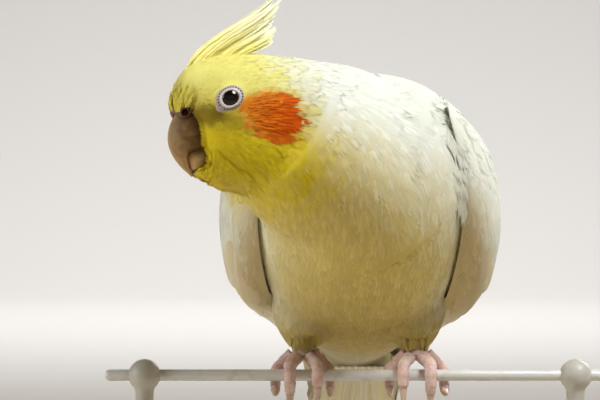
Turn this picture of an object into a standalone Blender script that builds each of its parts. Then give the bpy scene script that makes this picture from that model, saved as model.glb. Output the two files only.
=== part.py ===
"""A lutino cockatiel, life size and still, leaning forward on a short length of cage wire.

Metres, +Z up. The bird faces -Y and its own left side is +X. The origin lies on the underside of the
stand's base, straight below the middle of the perch. Everything on the bird is first placed from the
middle of the perch wire, and then lifted by PERCH_HEIGHT.
"""

import math

import bpy
import bmesh
import numpy as np
from mathutils import Matrix, Vector

MM = 0.001
# The gap between two pieces, and how far a neighbour is grown to cut that gap from flat facets.
GAP = 0.3 * MM
ROOM = 1.25 * GAP

# Perch and display stand
PERCH_RADIUS = 1.5 * MM
PERCH_LENGTH = 132 * MM
PERCH_HEIGHT = 97 * MM
BASE_WIDTH = 138 * MM
BASE_DEPTH = 116 * MM
BASE_THICKNESS = 6 * MM
BASE_CENTRE_Y = 14 * MM
ROD_RADIUS = 2.4 * MM
ROD_SPREAD = 56 * MM

# Torso: it leans forward by PITCH, and its stations run from the rump to the base of the neck.
PITCH = math.radians(38)
BODY_POWER = 2.35
TORSO_CENTRE = Vector((0, 4, 41)) * MM
# Rows: place along the torso, half width, height above the axis, depth below it.
TORSO_STATIONS = (
    (-62, 4.0, 3.0, 3.0),
    (-59, 8.0, 5.5, 6.5),
    (-50, 13.5, 9.5, 11.5),
    (-36, 20.5, 16.5, 18.6),
    (-18, 26.2, 21.2, 24.4),
    (0, 29.2, 23.4, 27.6),
    (16, 29.2, 23.4, 28.2),
    (30, 26.6, 21.6, 25.0),
    (39, 21.5, 17.0, 19.0),
    (45, 14.0, 10.5, 12.0),
    (48, 5.0, 4.0, 5.0),
)

# Neck: a short thick column from the breast towards the bird's right. Rows: x, y, z, radius.
NECK_PATH = (
    (2, -10, 46, 26.0),
    (-6, -22, 55.0, 24.6),
    (-15, -32, 59.8, 22.2),
    (-22, -38, 64.2, 18.4),
)

# Head: it is turned to the bird's right. U runs forward through the bill, V up, from the eyes' level.
HEAD_CENTRE = Vector((-34.8, -42, 69.8)) * MM
HEAD_TURN = math.radians(75)
# Rows: u, half width, v of the top, v of the underside.
HEAD_STATIONS = (
    (-31, 4.0, 1.0, -10.0),
    (-28, 9.5, 7.4, -19.0),
    (-22, 13.0, 10.4, -24.0),
    (-14, 13.6, 11.4, -25.0),
    (-7, 13.2, 11.8, -23.6),
    (0, 12.0, 11.6, -20.4),
    (3.2, 10.6, 10.9, -17.8),
    (4.8, 9.6, 10.4, -12.6),
    (6.2, 8.7, 9.8, -7.8),
    (8.5, 7.2, 8.4, -4.6),
    (10.4, 5.6, 6.3, -1.6),
    (11.6, 4.0, 3.7, -0.6),
    (12.3, 1.6, 1.9, 0.4),
)
# The rounded chin: u, v, radius.
CHIN = (-0.4, -15.5, 6.3)

# Feathered thighs, one each side, from inside the belly to just above the foot; rows as for the neck.
FOOT_SPREAD = 14.8 * MM
THIGH_PATH = (
    (11.5, 14, 25, 12.0),
    (13.6, 10, 15, 10.6),
    (14.6, 7, 9.4, 6.6),
    (14.8, 5.6, 6.4, 3.6),
)

FORWARD = Vector((0, -math.cos(PITCH), math.sin(PITCH)))
DORSAL = Vector((0, math.sin(PITCH), math.cos(PITCH)))
LEFT = Vector((1, 0, 0))
UP = Vector((0, 0, 1))
HEAD_FORWARD = Vector((-math.sin(HEAD_TURN), -math.cos(HEAD_TURN), 0))
HEAD_LEFT = UP.cross(HEAD_FORWARD)


# Helpers for numbers and meshes


def between(stations, place):
    """The values at one place, on a smooth curve through rows of (place, value, value, ...)."""
    table = np.array(stations, float)
    places, values = table[:, 0], table[:, 1:]
    slopes = np.gradient(values, places, axis=0)
    k = int(np.clip(np.searchsorted(places, place) - 1, 0, len(places) - 2))
    span = places[k + 1] - places[k]
    t = float(np.clip((place - places[k]) / span, 0, 1))
    return (
        (1 + 2 * t) * (1 - t) ** 2 * values[k]
        + t * (1 - t) ** 2 * span * slopes[k]
        + t * t * (3 - 2 * t) * values[k + 1]
        - t * t * (1 - t) * span * slopes[k + 1]
    )


def smoothstep(low, high, value):
    t = min(1.0, max(0.0, (value - low) / (high - low)))
    return t * t * (3 - 2 * t)


def make_object(name, points, faces):
    mesh = bpy.data.meshes.new(name)
    mesh.from_pydata([tuple(p) for p in points], [], faces)
    bm = bmesh.new()
    bm.from_mesh(mesh)
    bmesh.ops.recalc_face_normals(bm, faces=bm.faces)
    bm.to_mesh(mesh)
    bm.free()
    obj = bpy.data.objects.new(name, mesh)
    bpy.context.scene.collection.objects.link(obj)
    return obj


def remove(*objects):
    for obj in objects:
        bpy.data.objects.remove(obj)


def loft(name, rings):
    """A closed mesh through rings of equal count, with a fan over each end."""
    count = len(rings[0])
    points = [p for ring in rings for p in ring]
    faces = []
    for k in range(len(rings) - 1):
        for i in range(count):
            a, b = k * count + i, k * count + (i + 1) % count
            faces += [(a, b, b + count), (a, b + count, a + count)]
    for k in (0, len(rings) - 1):
        middle = len(points)
        points.append(sum(rings[k], Vector()) / count)
        faces += [
            (k * count + (i + 1) % count, k * count + i, middle) for i in range(count)
        ]
    return make_object(name, points, faces)


def oval(centre, side, up, half_width, top, bottom, count, power=2.0):
    """A ring of points: a superellipse whose upper and lower halves differ in height."""
    ring = []
    for i in range(count):
        angle = 2 * math.pi * i / count
        c, s = math.cos(angle), math.sin(angle)
        x = math.copysign(abs(c) ** (2 / power), c) * half_width
        z = math.copysign(abs(s) ** (2 / power), s) * (top if s > 0 else bottom)
        ring.append(centre + side * x + up * z)
    return ring


def curve_through(points, count):
    """Points evenly spread by number on a smooth curve through the given rows."""
    rows = [(k, *row) for k, row in enumerate(points)]
    return [
        between(rows, (len(rows) - 1) * k / (count - 1)) for k in range(count)
    ]


def tube(name, path, sides, side_hint=LEFT):
    """A closed round body along rows of (x, y, z, radius), which never run along side_hint."""
    centres = [Vector(row[:3]) for row in path]
    rings = []
    for k, centre in enumerate(centres):
        ahead = centres[min(k + 1, len(path) - 1)] - centres[max(k - 1, 0)]
        up = ahead.cross(side_hint).normalized()
        side = up.cross(ahead).normalized()
        radius = path[k][3]
        rings.append(oval(centre, side, up, radius, radius, radius, sides))
    return loft(name, rings)


def ball(name, centre, radius, rings=10, sides=16, axis=UP):
    """A closed sphere whose rings lie across the axis."""
    side = axis.orthogonal().normalized()
    up = axis.cross(side)
    layers = []
    for k in range(rings + 1):
        angle = math.pi * (0.02 + 0.96 * k / rings)
        place = centre - axis * radius * math.cos(angle)
        width = radius * math.sin(angle)
        layers.append(oval(place, side, up, width, width, width, sides))
    return loft(name, layers)


def vane(name, stations):
    """A closed flat feather through rows of (centre, side, up), the last two as half extents."""
    points, faces = [], []
    for centre, side, up in stations:
        points += [centre - side - up, centre + side - up, centre + side + up, centre - side + up]
    for k in range(len(stations) - 1):
        a, b = 4 * k, 4 * k + 4
        faces += [(a, b, b + 1), (a, b + 1, a + 1), (a + 3, b + 2, b + 3), (a + 3, a + 2, b + 2)]
        for i in (1, 3):
            j = (i + 1) % 4
            faces += [(a + i, b + i, b + j), (a + i, b + j, a + j)]
    end = 4 * (len(stations) - 1)
    faces += [(0, 1, 2), (0, 2, 3), (end, end + 2, end + 1), (end, end + 3, end + 2)]
    return make_object(name, points, faces)


def vane_width(t, tip=0.35):
    """How wide a feather is along its length, from quill to rounded tip, as a share of its width."""
    return (0.55 + 0.45 * smoothstep(0, 0.35, t)) * max(tip, 1 - max(0.0, (t - 0.6) / 0.4) ** 2.6)


def evaluated_mesh(obj):
    """Bakes the object's modifiers into its mesh."""
    graph = bpy.context.evaluated_depsgraph_get()
    mesh = bpy.data.meshes.new_from_object(obj.evaluated_get(graph))
    old = obj.data
    obj.modifiers.clear()
    obj.data = mesh
    bpy.data.meshes.remove(old)
    return obj


def extent(verts):
    return sum(max(v.co[k] for v in verts) - min(v.co[k] for v in verts) for k in range(3))


def keep_largest(obj):
    """Keeps the object's largest closed surface and drops the rest."""
    bm = bmesh.new()
    bm.from_mesh(obj.data)
    bmesh.ops.remove_doubles(bm, verts=bm.verts, dist=1e-7)
    bmesh.ops.triangulate(bm, faces=bm.faces)
    unseen, islands = set(bm.verts), []
    while unseen:
        todo = [unseen.pop()]
        island = set(todo)
        while todo:
            for edge in todo.pop().link_edges:
                for vert in edge.verts:
                    if vert in unseen:
                        unseen.remove(vert)
                        island.add(vert)
                        todo.append(vert)
        islands.append(island)
    islands.sort(key=extent)
    loose = [vert for island in islands[:-1] for vert in island]
    bmesh.ops.delete(bm, geom=loose, context="VERTS")
    bm.to_mesh(obj.data)
    bm.free()
    return obj


def combine(obj, others, operation):
    """A Boolean of obj with every object in others, applied; the others are removed."""
    group = bpy.data.collections.new("pieces")
    for other in others:
        group.objects.link(other)
    boolean = obj.modifiers.new("join", "BOOLEAN")
    boolean.operation = operation
    boolean.solver = "EXACT"
    boolean.operand_type = "COLLECTION"
    boolean.collection = group
    boolean.use_self = operation == "UNION"
    evaluated_mesh(obj)
    remove(*others)
    bpy.data.collections.remove(group)
    return keep_largest(obj)


def grown(obj, distance):
    """A copy whose surface lies this far outside the object's own."""
    copy = obj.copy()
    copy.data = obj.data.copy()
    bpy.context.scene.collection.objects.link(copy)
    for vertex, normal in zip(copy.data.vertices, [v.normal.copy() for v in obj.data.vertices]):
        vertex.co += normal * distance
    return copy


def cut_clear(obj, *neighbours):
    """Cuts obj back so that it stays a gap away from each neighbour."""
    for neighbour in neighbours:
        combine(obj, [grown(neighbour, ROOM)], "DIFFERENCE")
    return obj


# Body: one skin over torso, neck, head and thighs, then parted by thin flat cuts


def torso_axis(place):
    return TORSO_CENTRE + FORWARD * place * MM


def torso_body():
    rings = []
    first, last = TORSO_STATIONS[0][0], TORSO_STATIONS[-1][0]
    for place in np.linspace(first, last, 30):
        half_width, top, bottom = between(TORSO_STATIONS, place) * MM
        rings.append(
            oval(torso_axis(place), LEFT, DORSAL, half_width, top, bottom, 36, BODY_POWER)
        )
    return loft("torso_form", rings)


def head_point(u, v, left=0.0):
    """A point of the head's own frame, in millimetres from the midpoint between the eyes."""
    return HEAD_CENTRE + (HEAD_FORWARD * u + UP * v + HEAD_LEFT * left) * MM


def head_body():
    rings = []
    middle = -2.0
    first, last = HEAD_STATIONS[0][0], HEAD_STATIONS[-1][0]
    for u in first + (last - first) * np.linspace(0, 1, 40) ** 0.8:
        half_width, top, bottom = between(HEAD_STATIONS, u)
        level = max(middle, (top + bottom) / 2) if u > 6 else middle
        rings.append(
            oval(
                head_point(u, level),
                HEAD_LEFT,
                UP,
                half_width * MM,
                (top - level) * MM,
                (level - bottom) * MM,
                32,
                2.15,
            )
        )
    return loft("head_form", rings)


def in_metres(rows):
    return [tuple(value * MM for value in row) for row in rows]


def mirrored(rows, side):
    return [(row[0] * side, *row[1:]) for row in rows]


def body_skin():
    neck = tube("neck_form", curve_through(in_metres(NECK_PATH), 9), 32)
    thighs = [
        tube("thigh_form", curve_through(in_metres(mirrored(THIGH_PATH, side)), 8), 20)
        for side in (-1, 1)
    ]
    chin = ball("chin", head_point(CHIN[0], CHIN[1]), CHIN[2] * MM)
    skin = combine(torso_body(), [neck, head_body(), chin, *thighs], "UNION")
    remesh = skin.modifiers.new("voxels", "REMESH")
    remesh.mode = "VOXEL"
    remesh.voxel_size = 1.1 * MM
    soften = skin.modifiers.new("soften", "SMOOTH")
    soften.factor = 0.5
    soften.iterations = 7
    thin = skin.modifiers.new("thin", "DECIMATE")
    thin.ratio = 0.043
    evaluated_mesh(skin)
    return keep_largest(skin)


def half_of(obj, name, point, normal, keep_front=True):
    """A closed copy of one side of the object, cut off flat at the plane."""
    copy = obj.copy()
    copy.data = obj.data.copy()
    copy.name = name
    bpy.context.scene.collection.objects.link(copy)
    bm = bmesh.new()
    bm.from_mesh(copy.data)
    bmesh.ops.bisect_plane(
        bm,
        geom=[*bm.verts, *bm.edges, *bm.faces],
        plane_co=point,
        plane_no=normal,
        clear_inner=keep_front,
        clear_outer=not keep_front,
    )
    bmesh.ops.holes_fill(bm, edges=[e for e in bm.edges if e.is_boundary], sides=0)
    bmesh.ops.recalc_face_normals(bm, faces=bm.faces)
    bm.to_mesh(copy.data)
    bm.free()
    return keep_largest(copy)


NECK_CUT = torso_axis(36)
NECK_CUT_NORMAL = (FORWARD + Vector((-0.25, 0, 0))).normalized()
HEAD_CUT = head_point(-13, -4)
HEAD_CUT_NORMAL = (HEAD_FORWARD * 0.93 + FORWARD * 0.25 + UP * 0.12).normalized()


def parted_body(skin):
    """The torso with its thighs, the neck and the head, each closed, a gap apart."""
    half_gap = GAP / 2
    front = half_of(skin, "front", NECK_CUT + NECK_CUT_NORMAL * half_gap, NECK_CUT_NORMAL)
    torso = half_of(skin, "torso", NECK_CUT - NECK_CUT_NORMAL * half_gap, NECK_CUT_NORMAL, False)
    head = half_of(front, "head", HEAD_CUT + HEAD_CUT_NORMAL * half_gap, HEAD_CUT_NORMAL)
    neck = half_of(front, "neck", HEAD_CUT - HEAD_CUT_NORMAL * half_gap, HEAD_CUT_NORMAL, False)
    remove(front)
    return torso, neck, head


# Head furniture: eyes with their lids, bill, cere and crest

EYE_RADIUS = 3.3 * MM
EYE_DEPTH = 9.7
LID_RADIUS = 2.8 * MM
LID_THICKNESS = 0.62 * MM
EYE_TURN = math.radians(12)

# Profile rows: outer edge (u, v), inner edge (u, v), half width.
BILL_UPPER_ROWS = (
    (7.3, -0.5, 1.0, -7.0, 5.2),
    (10.8, -3.2, 3.2, -10.2, 5.1),
    (12.6, -6.6, 5.4, -12.2, 4.7),
    (13.0, -10.2, 7.8, -12.9, 4.0),
    (12.0, -13.4, 8.4, -14.2, 2.9),
    (10.2, -16.0, 8.0, -15.9, 1.8),
    (8.2, -17.9, 7.3, -17.4, 0.8),
    (7.3, -18.7, 7.0, -18.4, 0.25),
)
BILL_LOWER_ROWS = (
    (1.0, -9.0, 0.6, -15.4, 4.3),
    (3.6, -10.4, 3.6, -16.6, 4.2),
    (5.8, -11.6, 5.8, -17.2, 3.7),
    (7.6, -12.2, 7.3, -17.0, 2.7),
    (8.6, -13.0, 8.2, -15.8, 1.3),
)
# The crest fans out between two edges, given as (u, v) from the crown to the tips.
CREST_FRONT = (
    (9.6, 6.5),
    (6.4, 11.2),
    (1.2, 15.4),
    (-4.0, 18.6),
    (-9.0, 21.8),
    (-13.2, 25.4),
    (-16.8, 29.8),
)
CREST_REAR = (
    (-3.4, 9.4),
    (-5.6, 11.0),
    (-7.6, 12.0),
    (-9.4, 12.7),
    (-10.8, 13.2),
    (-11.8, 13.7),
    (-12.6, 14.3),
)
# Rows: share of the way from front to rear, place across the head, length as a share.
CREST_FEATHERS = (
    (0.02, 0.0, 1.0),
    (0.10, -1.7, 0.95),
    (0.12, 1.7, 0.92),
    (0.24, 0.1, 0.98),
    (0.36, -2.4, 0.88),
    (0.38, 2.4, 0.92),
    (0.50, 0.4, 0.9),
    (0.62, -1.9, 0.9),
    (0.68, 2.1, 0.92),
    (0.82, -0.6, 0.9),
    (1.0, 0.9, 1.0),
)


def profile_form(name, rows, rings, sides):
    """A closed form whose outline in the head's mid plane is given by pairs of points."""
    layers = []
    for row in curve_through(rows, rings):
        outer, inner = head_point(row[0], row[1]), head_point(row[2], row[3])
        half = (outer - inner) / 2
        up = half.normalized()
        middle, length = (outer + inner) / 2, half.length
        layers.append(oval(middle, HEAD_LEFT, up, row[4] * MM, length, length, sides))
    return loft(name, layers)


def eye_axis(side):
    return (HEAD_LEFT * side * math.cos(EYE_TURN) + HEAD_FORWARD * math.sin(EYE_TURN)).normalized()


def eye_ball(name, side, extra=0.0):
    return ball(
        name, head_point(0, 0, side * EYE_DEPTH), EYE_RADIUS + extra, 8, 12, eye_axis(side)
    )


def lid(side):
    """The bare ring of skin round the eye."""
    axis = eye_axis(side)
    across = axis.orthogonal().normalized()
    over = axis.cross(across)
    middle = head_point(0, 0, side * EYE_DEPTH) + axis * 2.2 * MM
    turns, sides = 18, 5
    points, faces = [], []
    for i in range(turns):
        angle = 2 * math.pi * i / turns
        out = across * math.cos(angle) + over * math.sin(angle)
        for j in range(sides):
            turn = 2 * math.pi * j / sides
            reach = LID_RADIUS + LID_THICKNESS * math.cos(turn)
            points.append(middle + out * reach + axis * LID_THICKNESS * 0.9 * math.sin(turn))
            a, b = i * sides + j, i * sides + (j + 1) % sides
            c, d = ((i + 1) % turns) * sides + j, ((i + 1) % turns) * sides + (j + 1) % sides
            faces.append((a, b, d, c))
    return make_object("lid", points, faces)


def cere_lobes(name, extra=0.0):
    """Two soft lobes and the bridge between them, or the swollen room they need."""
    places = ((9.6, -2.7, -2.5, 2.6), (9.6, -2.4, 0.0, 2.2), (9.6, -2.7, 2.5, 2.6))
    lobes = [ball(name, head_point(u, v, w), r * MM + extra, 7, 11) for u, v, w, r in places]
    return combine(lobes[0], lobes[1:], "UNION")


def cere_form(bill):
    """The cere over the bill's root, with a nostril sunk into each side."""
    cere = cere_lobes("cere")
    nostrils = [
        tube(
            "nostril",
            [
                (*head_point(9.2, -3.3, side * 2.6), 0.75 * MM),
                (*head_point(10.6, -3.3, side * 6.4), 0.85 * MM),
            ],
            8,
            side_hint=UP,
        )
        for side in (-1, 1)
    ]
    combine(cere, nostrils, "DIFFERENCE")
    return cut_clear(cere, bill)


def crest_form():
    """A low pad on the crown with the crest feathers rooted in it, one by one."""
    front, rear = curve_through(CREST_FRONT, 8), curve_through(CREST_REAR, 8)
    feathers = []
    for share, across, length in CREST_FEATHERS:
        middle = []
        for k in range(8):
            u, v = front[k] * (1 - share) + rear[k] * share
            middle.append(head_point(u, v, across * (1 - 0.25 * k / 7)))
        rows = [(k / 7, *point) for k, point in enumerate(middle)]
        stations = []
        for t in np.linspace(0, 1, 5):
            here = Vector(between(rows, t * length))
            ahead = Vector(between(rows, t * length + 0.01))
            along = (ahead - here).normalized()
            lean = HEAD_LEFT * (0.75 if across < 0 else -0.75) + UP
            side = (lean - along * lean.dot(along)).normalized()
            up = along.cross(side)
            half = 2.0 * MM * vane_width(t, 0.16)
            stations.append((here, side * half, up * (0.3 - 0.14 * t) * MM))
        feathers.append(vane("feather", stations))
    pad = ball("crest", head_point(2.0, 10.6), 6.6 * MM, 6, 10)
    for vertex in pad.data.vertices:
        offset = vertex.co - head_point(2.0, 10.6)
        tall, wide = offset.dot(UP), offset.dot(HEAD_LEFT)
        vertex.co -= UP * tall * 0.68 + HEAD_LEFT * wide * 0.35
    return combine(pad, feathers, "UNION")


def finished_head(head):
    """Adds the lids, cuts the sockets, and makes every piece that sits on the head."""
    combine(head, [lid(-1), lid(1)], "UNION")
    eyes = [eye_ball("eye_left", 1), eye_ball("eye_right", -1)]
    upper = profile_form("bill_upper", BILL_UPPER_ROWS, 13, 14)
    lower = cut_clear(profile_form("bill_lower", BILL_LOWER_ROWS, 7, 12), upper)
    cere = cere_form(upper)
    combine(head, [eye_ball("socket", side, GAP) for side in (-1, 1)], "DIFFERENCE")
    cut_clear(head, upper, lower)
    combine(head, [cere_lobes("room", ROOM)], "DIFFERENCE")
    crest = cut_clear(crest_form(), head)
    return [head, *eyes, upper, lower, cere, crest]


# Wings: they follow a sheet that wraps the torso, and rise clear of the tail behind it

# Rows: place, half width, top, bottom, lift, outer height of the folded wing.
WING_STATIONS = (
    (-138, 7.0, 6.5, 6.5, 5.0, 0.8),
    (-100, 11.0, 8.5, 8.5, 5.0, 2.2),
    (-70, 15.0, 11.0, 11.0, 4.0, 3.8),
    (-52, 18.0, 13.0, 14.0, 1.5, 5.2),
    (-36, 21.6, 17.0, 18.8, 0.2, 7.4),
    (-18, 26.2, 21.5, 24.4, 0.0, 8.0),
    (0, 29.2, 23.6, 27.6, 0.0, 6.9),
    (16, 29.2, 23.6, 28.2, 0.0, 4.8),
    (27, 27.4, 22.4, 26.0, 0.0, 3.0),
    (36, 23.8, 19.0, 21.6, 0.0, 1.5),
)
# Rows: place, angle of the lower edge, angle of the upper edge.
WING_EDGES = (
    (-138, 24, 40),
    (-100, 10, 54),
    (-60, -8, 68),
    (-45, -14, 72),
    (-30, -25, 72),
    (-15, -34, 68),
    (0, -35, 58),
    (14, -31, 42),
    (25, -24, 26),
    (31, -14, 16),
    (35, -4, 8),
)
# The right wing is held a little higher at its lower edge, in degrees.
WING_TUCK = {1: 0.0, -1: 5.0}


def wing_point(side, place, angle, height):
    """A point on the wing's sheet: place runs forward, angle up round the side, in degrees."""
    half_width, top, bottom, lift, _ = between(WING_STATIONS, place)
    c, s = math.cos(math.radians(angle)), math.sin(math.radians(angle))
    x = math.copysign(abs(c) ** (2 / BODY_POWER), c) * (half_width + height)
    z = math.copysign(abs(s) ** (2 / BODY_POWER), s) * ((top if s > 0 else bottom) + height)
    return torso_axis(place) + (DORSAL * (z + lift) + LEFT * side * x) * MM


def wing_edges(side, place):
    """The angles of the folded wing's lower and upper edge at one place."""
    low, high = between(WING_EDGES, place)
    return low + WING_TUCK[side], high


def wing_floor(place):
    """The height of the folded wing's inner face over the sheet."""
    return 0.2 - 1.2 * smoothstep(-45, -65, place)


def wing_crown(side, place, angle):
    """The height of the folded wing's outer face over the sheet."""
    low, high = wing_edges(side, place)
    full = between(WING_STATIONS, place)[4]
    t = min(1.0, max(0.0, (angle - low) / (high - low)))
    swell = (1 - abs(2 * t - 1) ** 3) ** 0.6 * (1 - 0.35 * smoothstep(10, 60, angle))
    return wing_floor(place) + 0.7 + (full - 0.7) * swell


def wing_core(name, side, first, last, rows, columns):
    """A closed plain wing between two places, lying on the body's side."""
    inner, outer = [], []
    for i in range(rows):
        place = first + (last - first) * i / (rows - 1)
        low, high = wing_edges(side, place)
        for j in range(columns):
            angle = low + (high - low) * j / (columns - 1)
            inner.append(wing_point(side, place, angle, wing_floor(place)))
            outer.append(wing_point(side, place, angle, wing_crown(side, place, angle)))
    faces = []
    count = rows * columns
    for i in range(rows - 1):
        for j in range(columns - 1):
            a = i * columns + j
            b, c, d = a + 1, a + columns + 1, a + columns
            faces += [(a, b, c), (a, c, d)]
            faces += [(count + a, count + c, count + b), (count + a, count + d, count + c)]
    edge = list(range(columns))
    edge += [i * columns + columns - 1 for i in range(1, rows)]
    edge += [(rows - 1) * columns + j for j in range(columns - 2, -1, -1)]
    edge += [i * columns for i in range(rows - 2, 0, -1)]
    for k, a in enumerate(edge):
        b = edge[(k + 1) % len(edge)]
        faces += [(a, count + a, count + b), (a, count + b, b)]
    return make_object(name, inner + outer, faces)


def wing_vane(side, root, tip, width, rise, thick=0.3):
    """A feather from root to tip, each (place, angle), rising over the folded wing's outer face."""
    stations = []
    for t in (0.0, 0.35, 0.7, 1.0):
        place = root[0] + (tip[0] - root[0]) * t
        angle = root[1] + (tip[1] - root[1]) * t
        height = rise[0] + (rise[1] - rise[0]) * t + wing_crown(side, place, angle)
        here = wing_point(side, place, angle, height)
        across = wing_point(side, place, angle + 1, height) - here
        out = (wing_point(side, place, angle, height + 1) - here).normalized()
        across.normalize()
        half = width / 2 * MM * vane_width(t)
        stations.append((here, across * half, out * thick * (1.0 - 0.3 * t) * MM))
    return vane("feather", stations)


# Rows of feathers from front to back: place of the quills, place of the tips, count, width.
WING_TIERS = (
    (27, 11, 4, 9.4),
    (15, -3, 5, 10.2),
    (2, -18, 5, 11.4),
    (-12, -38, 5, 11.4),
    (-29, -64, 6, 9.6),
)


def wing_tier(side, quills, tips, count, width):
    """One row of feathers side by side, a little apart, each row lying over the next."""
    feathers = []
    low, high = wing_edges(side, quills)
    low_tip, high_tip = wing_edges(side, tips)
    for k in range(count):
        t = (k + 0.5) / count
        root = (quills, low + (high - low) * t)
        tip = (tips - 2.0 * math.sin(math.pi * t), low_tip + (high_tip - low_tip) * t)
        place = (quills + tips) / 2
        here = wing_point(side, place, (root[1] + tip[1]) / 2, 3)
        span = (wing_point(side, place, (root[1] + tip[1]) / 2 + 1, 3) - here).length / MM
        room = span * (high - low + high_tip - low_tip) / 2 / count - 0.4
        feathers.append(wing_vane(side, root, tip, min(width, room), (-0.7, 0.7)))
    return feathers


def wing(name, side, *neighbours):
    """A folded wing: its core, the rows of coverts and secondaries, and the stacked primaries."""
    core = wing_core(name, side, 35, -74, 10, 6)
    feathers = [f for tier in WING_TIERS for f in wing_tier(side, *tier)]
    for k in range(4):
        root, tip = (-54, 8 + 11 * k), (-138 + 11 * k, 25 + 5 * k)
        base = wing_crown(side, root[0], root[1])
        end = wing_crown(side, tip[0], tip[1])
        level = 0.2 + 0.8 * k
        feathers.append(wing_vane(side, root, tip, 8.0, (level - base, level - end), 0.26))
    for k in range(3):
        root, tip = (-36 - 3 * k, 60 - 14 * k), (-86 + 6 * k, 58 - 13 * k)
        feathers.append(wing_vane(side, root, tip, 8.4, (-0.6, 1.5), 0.3))
    combine(core, feathers, "UNION")
    return cut_clear(core, *neighbours)


# Tail: long and graduated; it hangs a little towards the bird's right

TAIL_ROOT = torso_axis(-57)
TAIL_DROP = math.radians(36)
TAIL_YAW = math.radians(4)
TAIL_SIDE = Vector((math.cos(TAIL_YAW), math.sin(TAIL_YAW), 0))
TAIL_LEVEL = UP.cross(TAIL_SIDE)
TAIL_BACK = TAIL_LEVEL * math.cos(TAIL_DROP) - UP * math.sin(TAIL_DROP)
TAIL_UP = TAIL_SIDE.cross(TAIL_BACK)
# Lengths and outward reaches of the six pairs, from the middle pair outwards, and their layers' pitch.
TAIL_LENGTHS = (160, 150, 128, 108, 90, 75)
TAIL_SPREAD = (2.2, 4.6, 7.2, 9.6, 11.6, 13.2)
TAIL_LAYER = 0.86


def tail_point(place, across, height):
    return TAIL_ROOT + (TAIL_BACK * place + TAIL_SIDE * across + TAIL_UP * height) * MM


def tail_feather(root, tip, width, height, fall=0.0, count=7):
    """A straight feather from root to tip, each (place, across), at one height over the tail."""
    stations = []
    for t in np.linspace(0, 1, count):
        place = root[0] + (tip[0] - root[0]) * t
        across = root[1] + (tip[1] - root[1]) * t
        half = width / 2 * MM * vane_width(t, 0.2)
        here = tail_point(place, across, height - fall * t)
        stations.append((here, TAIL_SIDE * half, TAIL_UP * (0.29 - 0.1 * t) * MM))
    return vane("feather", stations)


def tail(torso):
    """Twelve graduated tail feathers in layers, with short coverts over and under their roots."""
    rings = []
    for place, half_width, top, bottom in (
        (-6, 5.0, 1.6, 3.0),
        (2, 8.4, 2.6, 5.4),
        (12, 9.6, 2.4, 5.6),
        (22, 8.6, 1.6, 5.0),
        (27, 5.0, 0.6, 3.4),
    ):
        middle = tail_point(place, 0, 0)
        rings.append(
            oval(middle, TAIL_SIDE, TAIL_UP, half_width * MM, top * MM, bottom * MM, 16)
        )
    feathers = []
    for k, length in enumerate(TAIL_LENGTHS):
        for side in (-1, 1):
            level = -TAIL_LAYER * k - (TAIL_LAYER * 0.9 if k == 0 and side < 0 else 0)
            level -= TAIL_LAYER * 0.9 if k > 0 else 0
            root = (6, side * (1.4 + 1.1 * k))
            reach = TAIL_SPREAD[k] * (0.35 if k == 0 else 1.0)
            width = 9.6 if k == 0 else min(9.4, 2 * reach - 0.4)
            feathers.append(
                tail_feather(root, (length, side * reach), width, level, 0.6 if k else 0.0, 5)
            )
    for k in range(5):
        across = (k - 2) * 4.2
        length = 34 - abs(k - 2) * 4
        feathers.append(tail_feather((8, across * 0.8), (8 + length, across), 3.8, 1.1, 0.0, 4))
        feathers.append(
            tail_feather((8, across * 0.8), (12 + length, across), 3.8, -TAIL_LAYER * 7.1, 0.0, 4)
        )
    core = loft("tail", rings)
    combine(core, feathers, "UNION")
    return cut_clear(core, torso)


# Legs: the shank stands up into the belly's feathers, and the toes wrap the perch two and two

# The centre lines of a front and a back toe round the perch, as (y, z).
FRONT_PATH = (
    (5.0, 5.3),
    (1.8, 4.5),
    (-0.9, 3.7),
    (-3.0, 2.3),
    (-3.7, 0.0),
    (-3.6, -2.2),
    (-3.1, -4.0),
)
BACK_PATH = ((5.0, 5.3), (5.2, 3.3), (4.3, 0.8), (3.5, -1.4), (2.2, -3.1), (0.6, -3.9))
# Rows: the toe's number, its place outwards along the perch, thickness, path, share of the path.
TOES = (
    (1, -7.0, 1.55, BACK_PATH, 0.86),
    (2, -3.7, 1.75, FRONT_PATH, 0.84),
    (3, 3.4, 1.85, FRONT_PATH, 1.0),
    (4, 7.2, 1.6, BACK_PATH, 1.0),
)
TOE_SIDES = 7
CLAW_LENGTH = 6.4


def toe_rows(side, outward, thickness, path, reach):
    """The toe's centre line with its radius, out to the claw's root."""
    rows = []
    for k, (y, z) in enumerate(path):
        t = k / (len(path) - 1)
        spread = min(1.0, 0.4 + 1.5 * t)
        x = side * (FOOT_SPREAD / MM + outward * spread)
        rows.append((x, y, z, thickness * (1 - 0.24 * t)))
    fine = curve_through(rows, 11)
    return [tuple(row * MM) for row in fine[: 1 + round(10 * reach)]]


def claw_rows(toe, curl):
    """The claw's centre line: it runs on from the toe's end and curls under the perch."""
    tip = Vector(toe[-1][:3])
    ahead = (tip - Vector(toe[-2][:3])).normalized()
    rows = []
    for k in range(5):
        t = k / 4
        turned = Matrix.Rotation(curl * t, 3, "X") @ ahead
        place = tip + turned * (CLAW_LENGTH * t * MM)
        rows.append((*place, 1.12 * MM * (1 - t) ** 0.7 + 0.1 * MM))
    return rows


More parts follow.
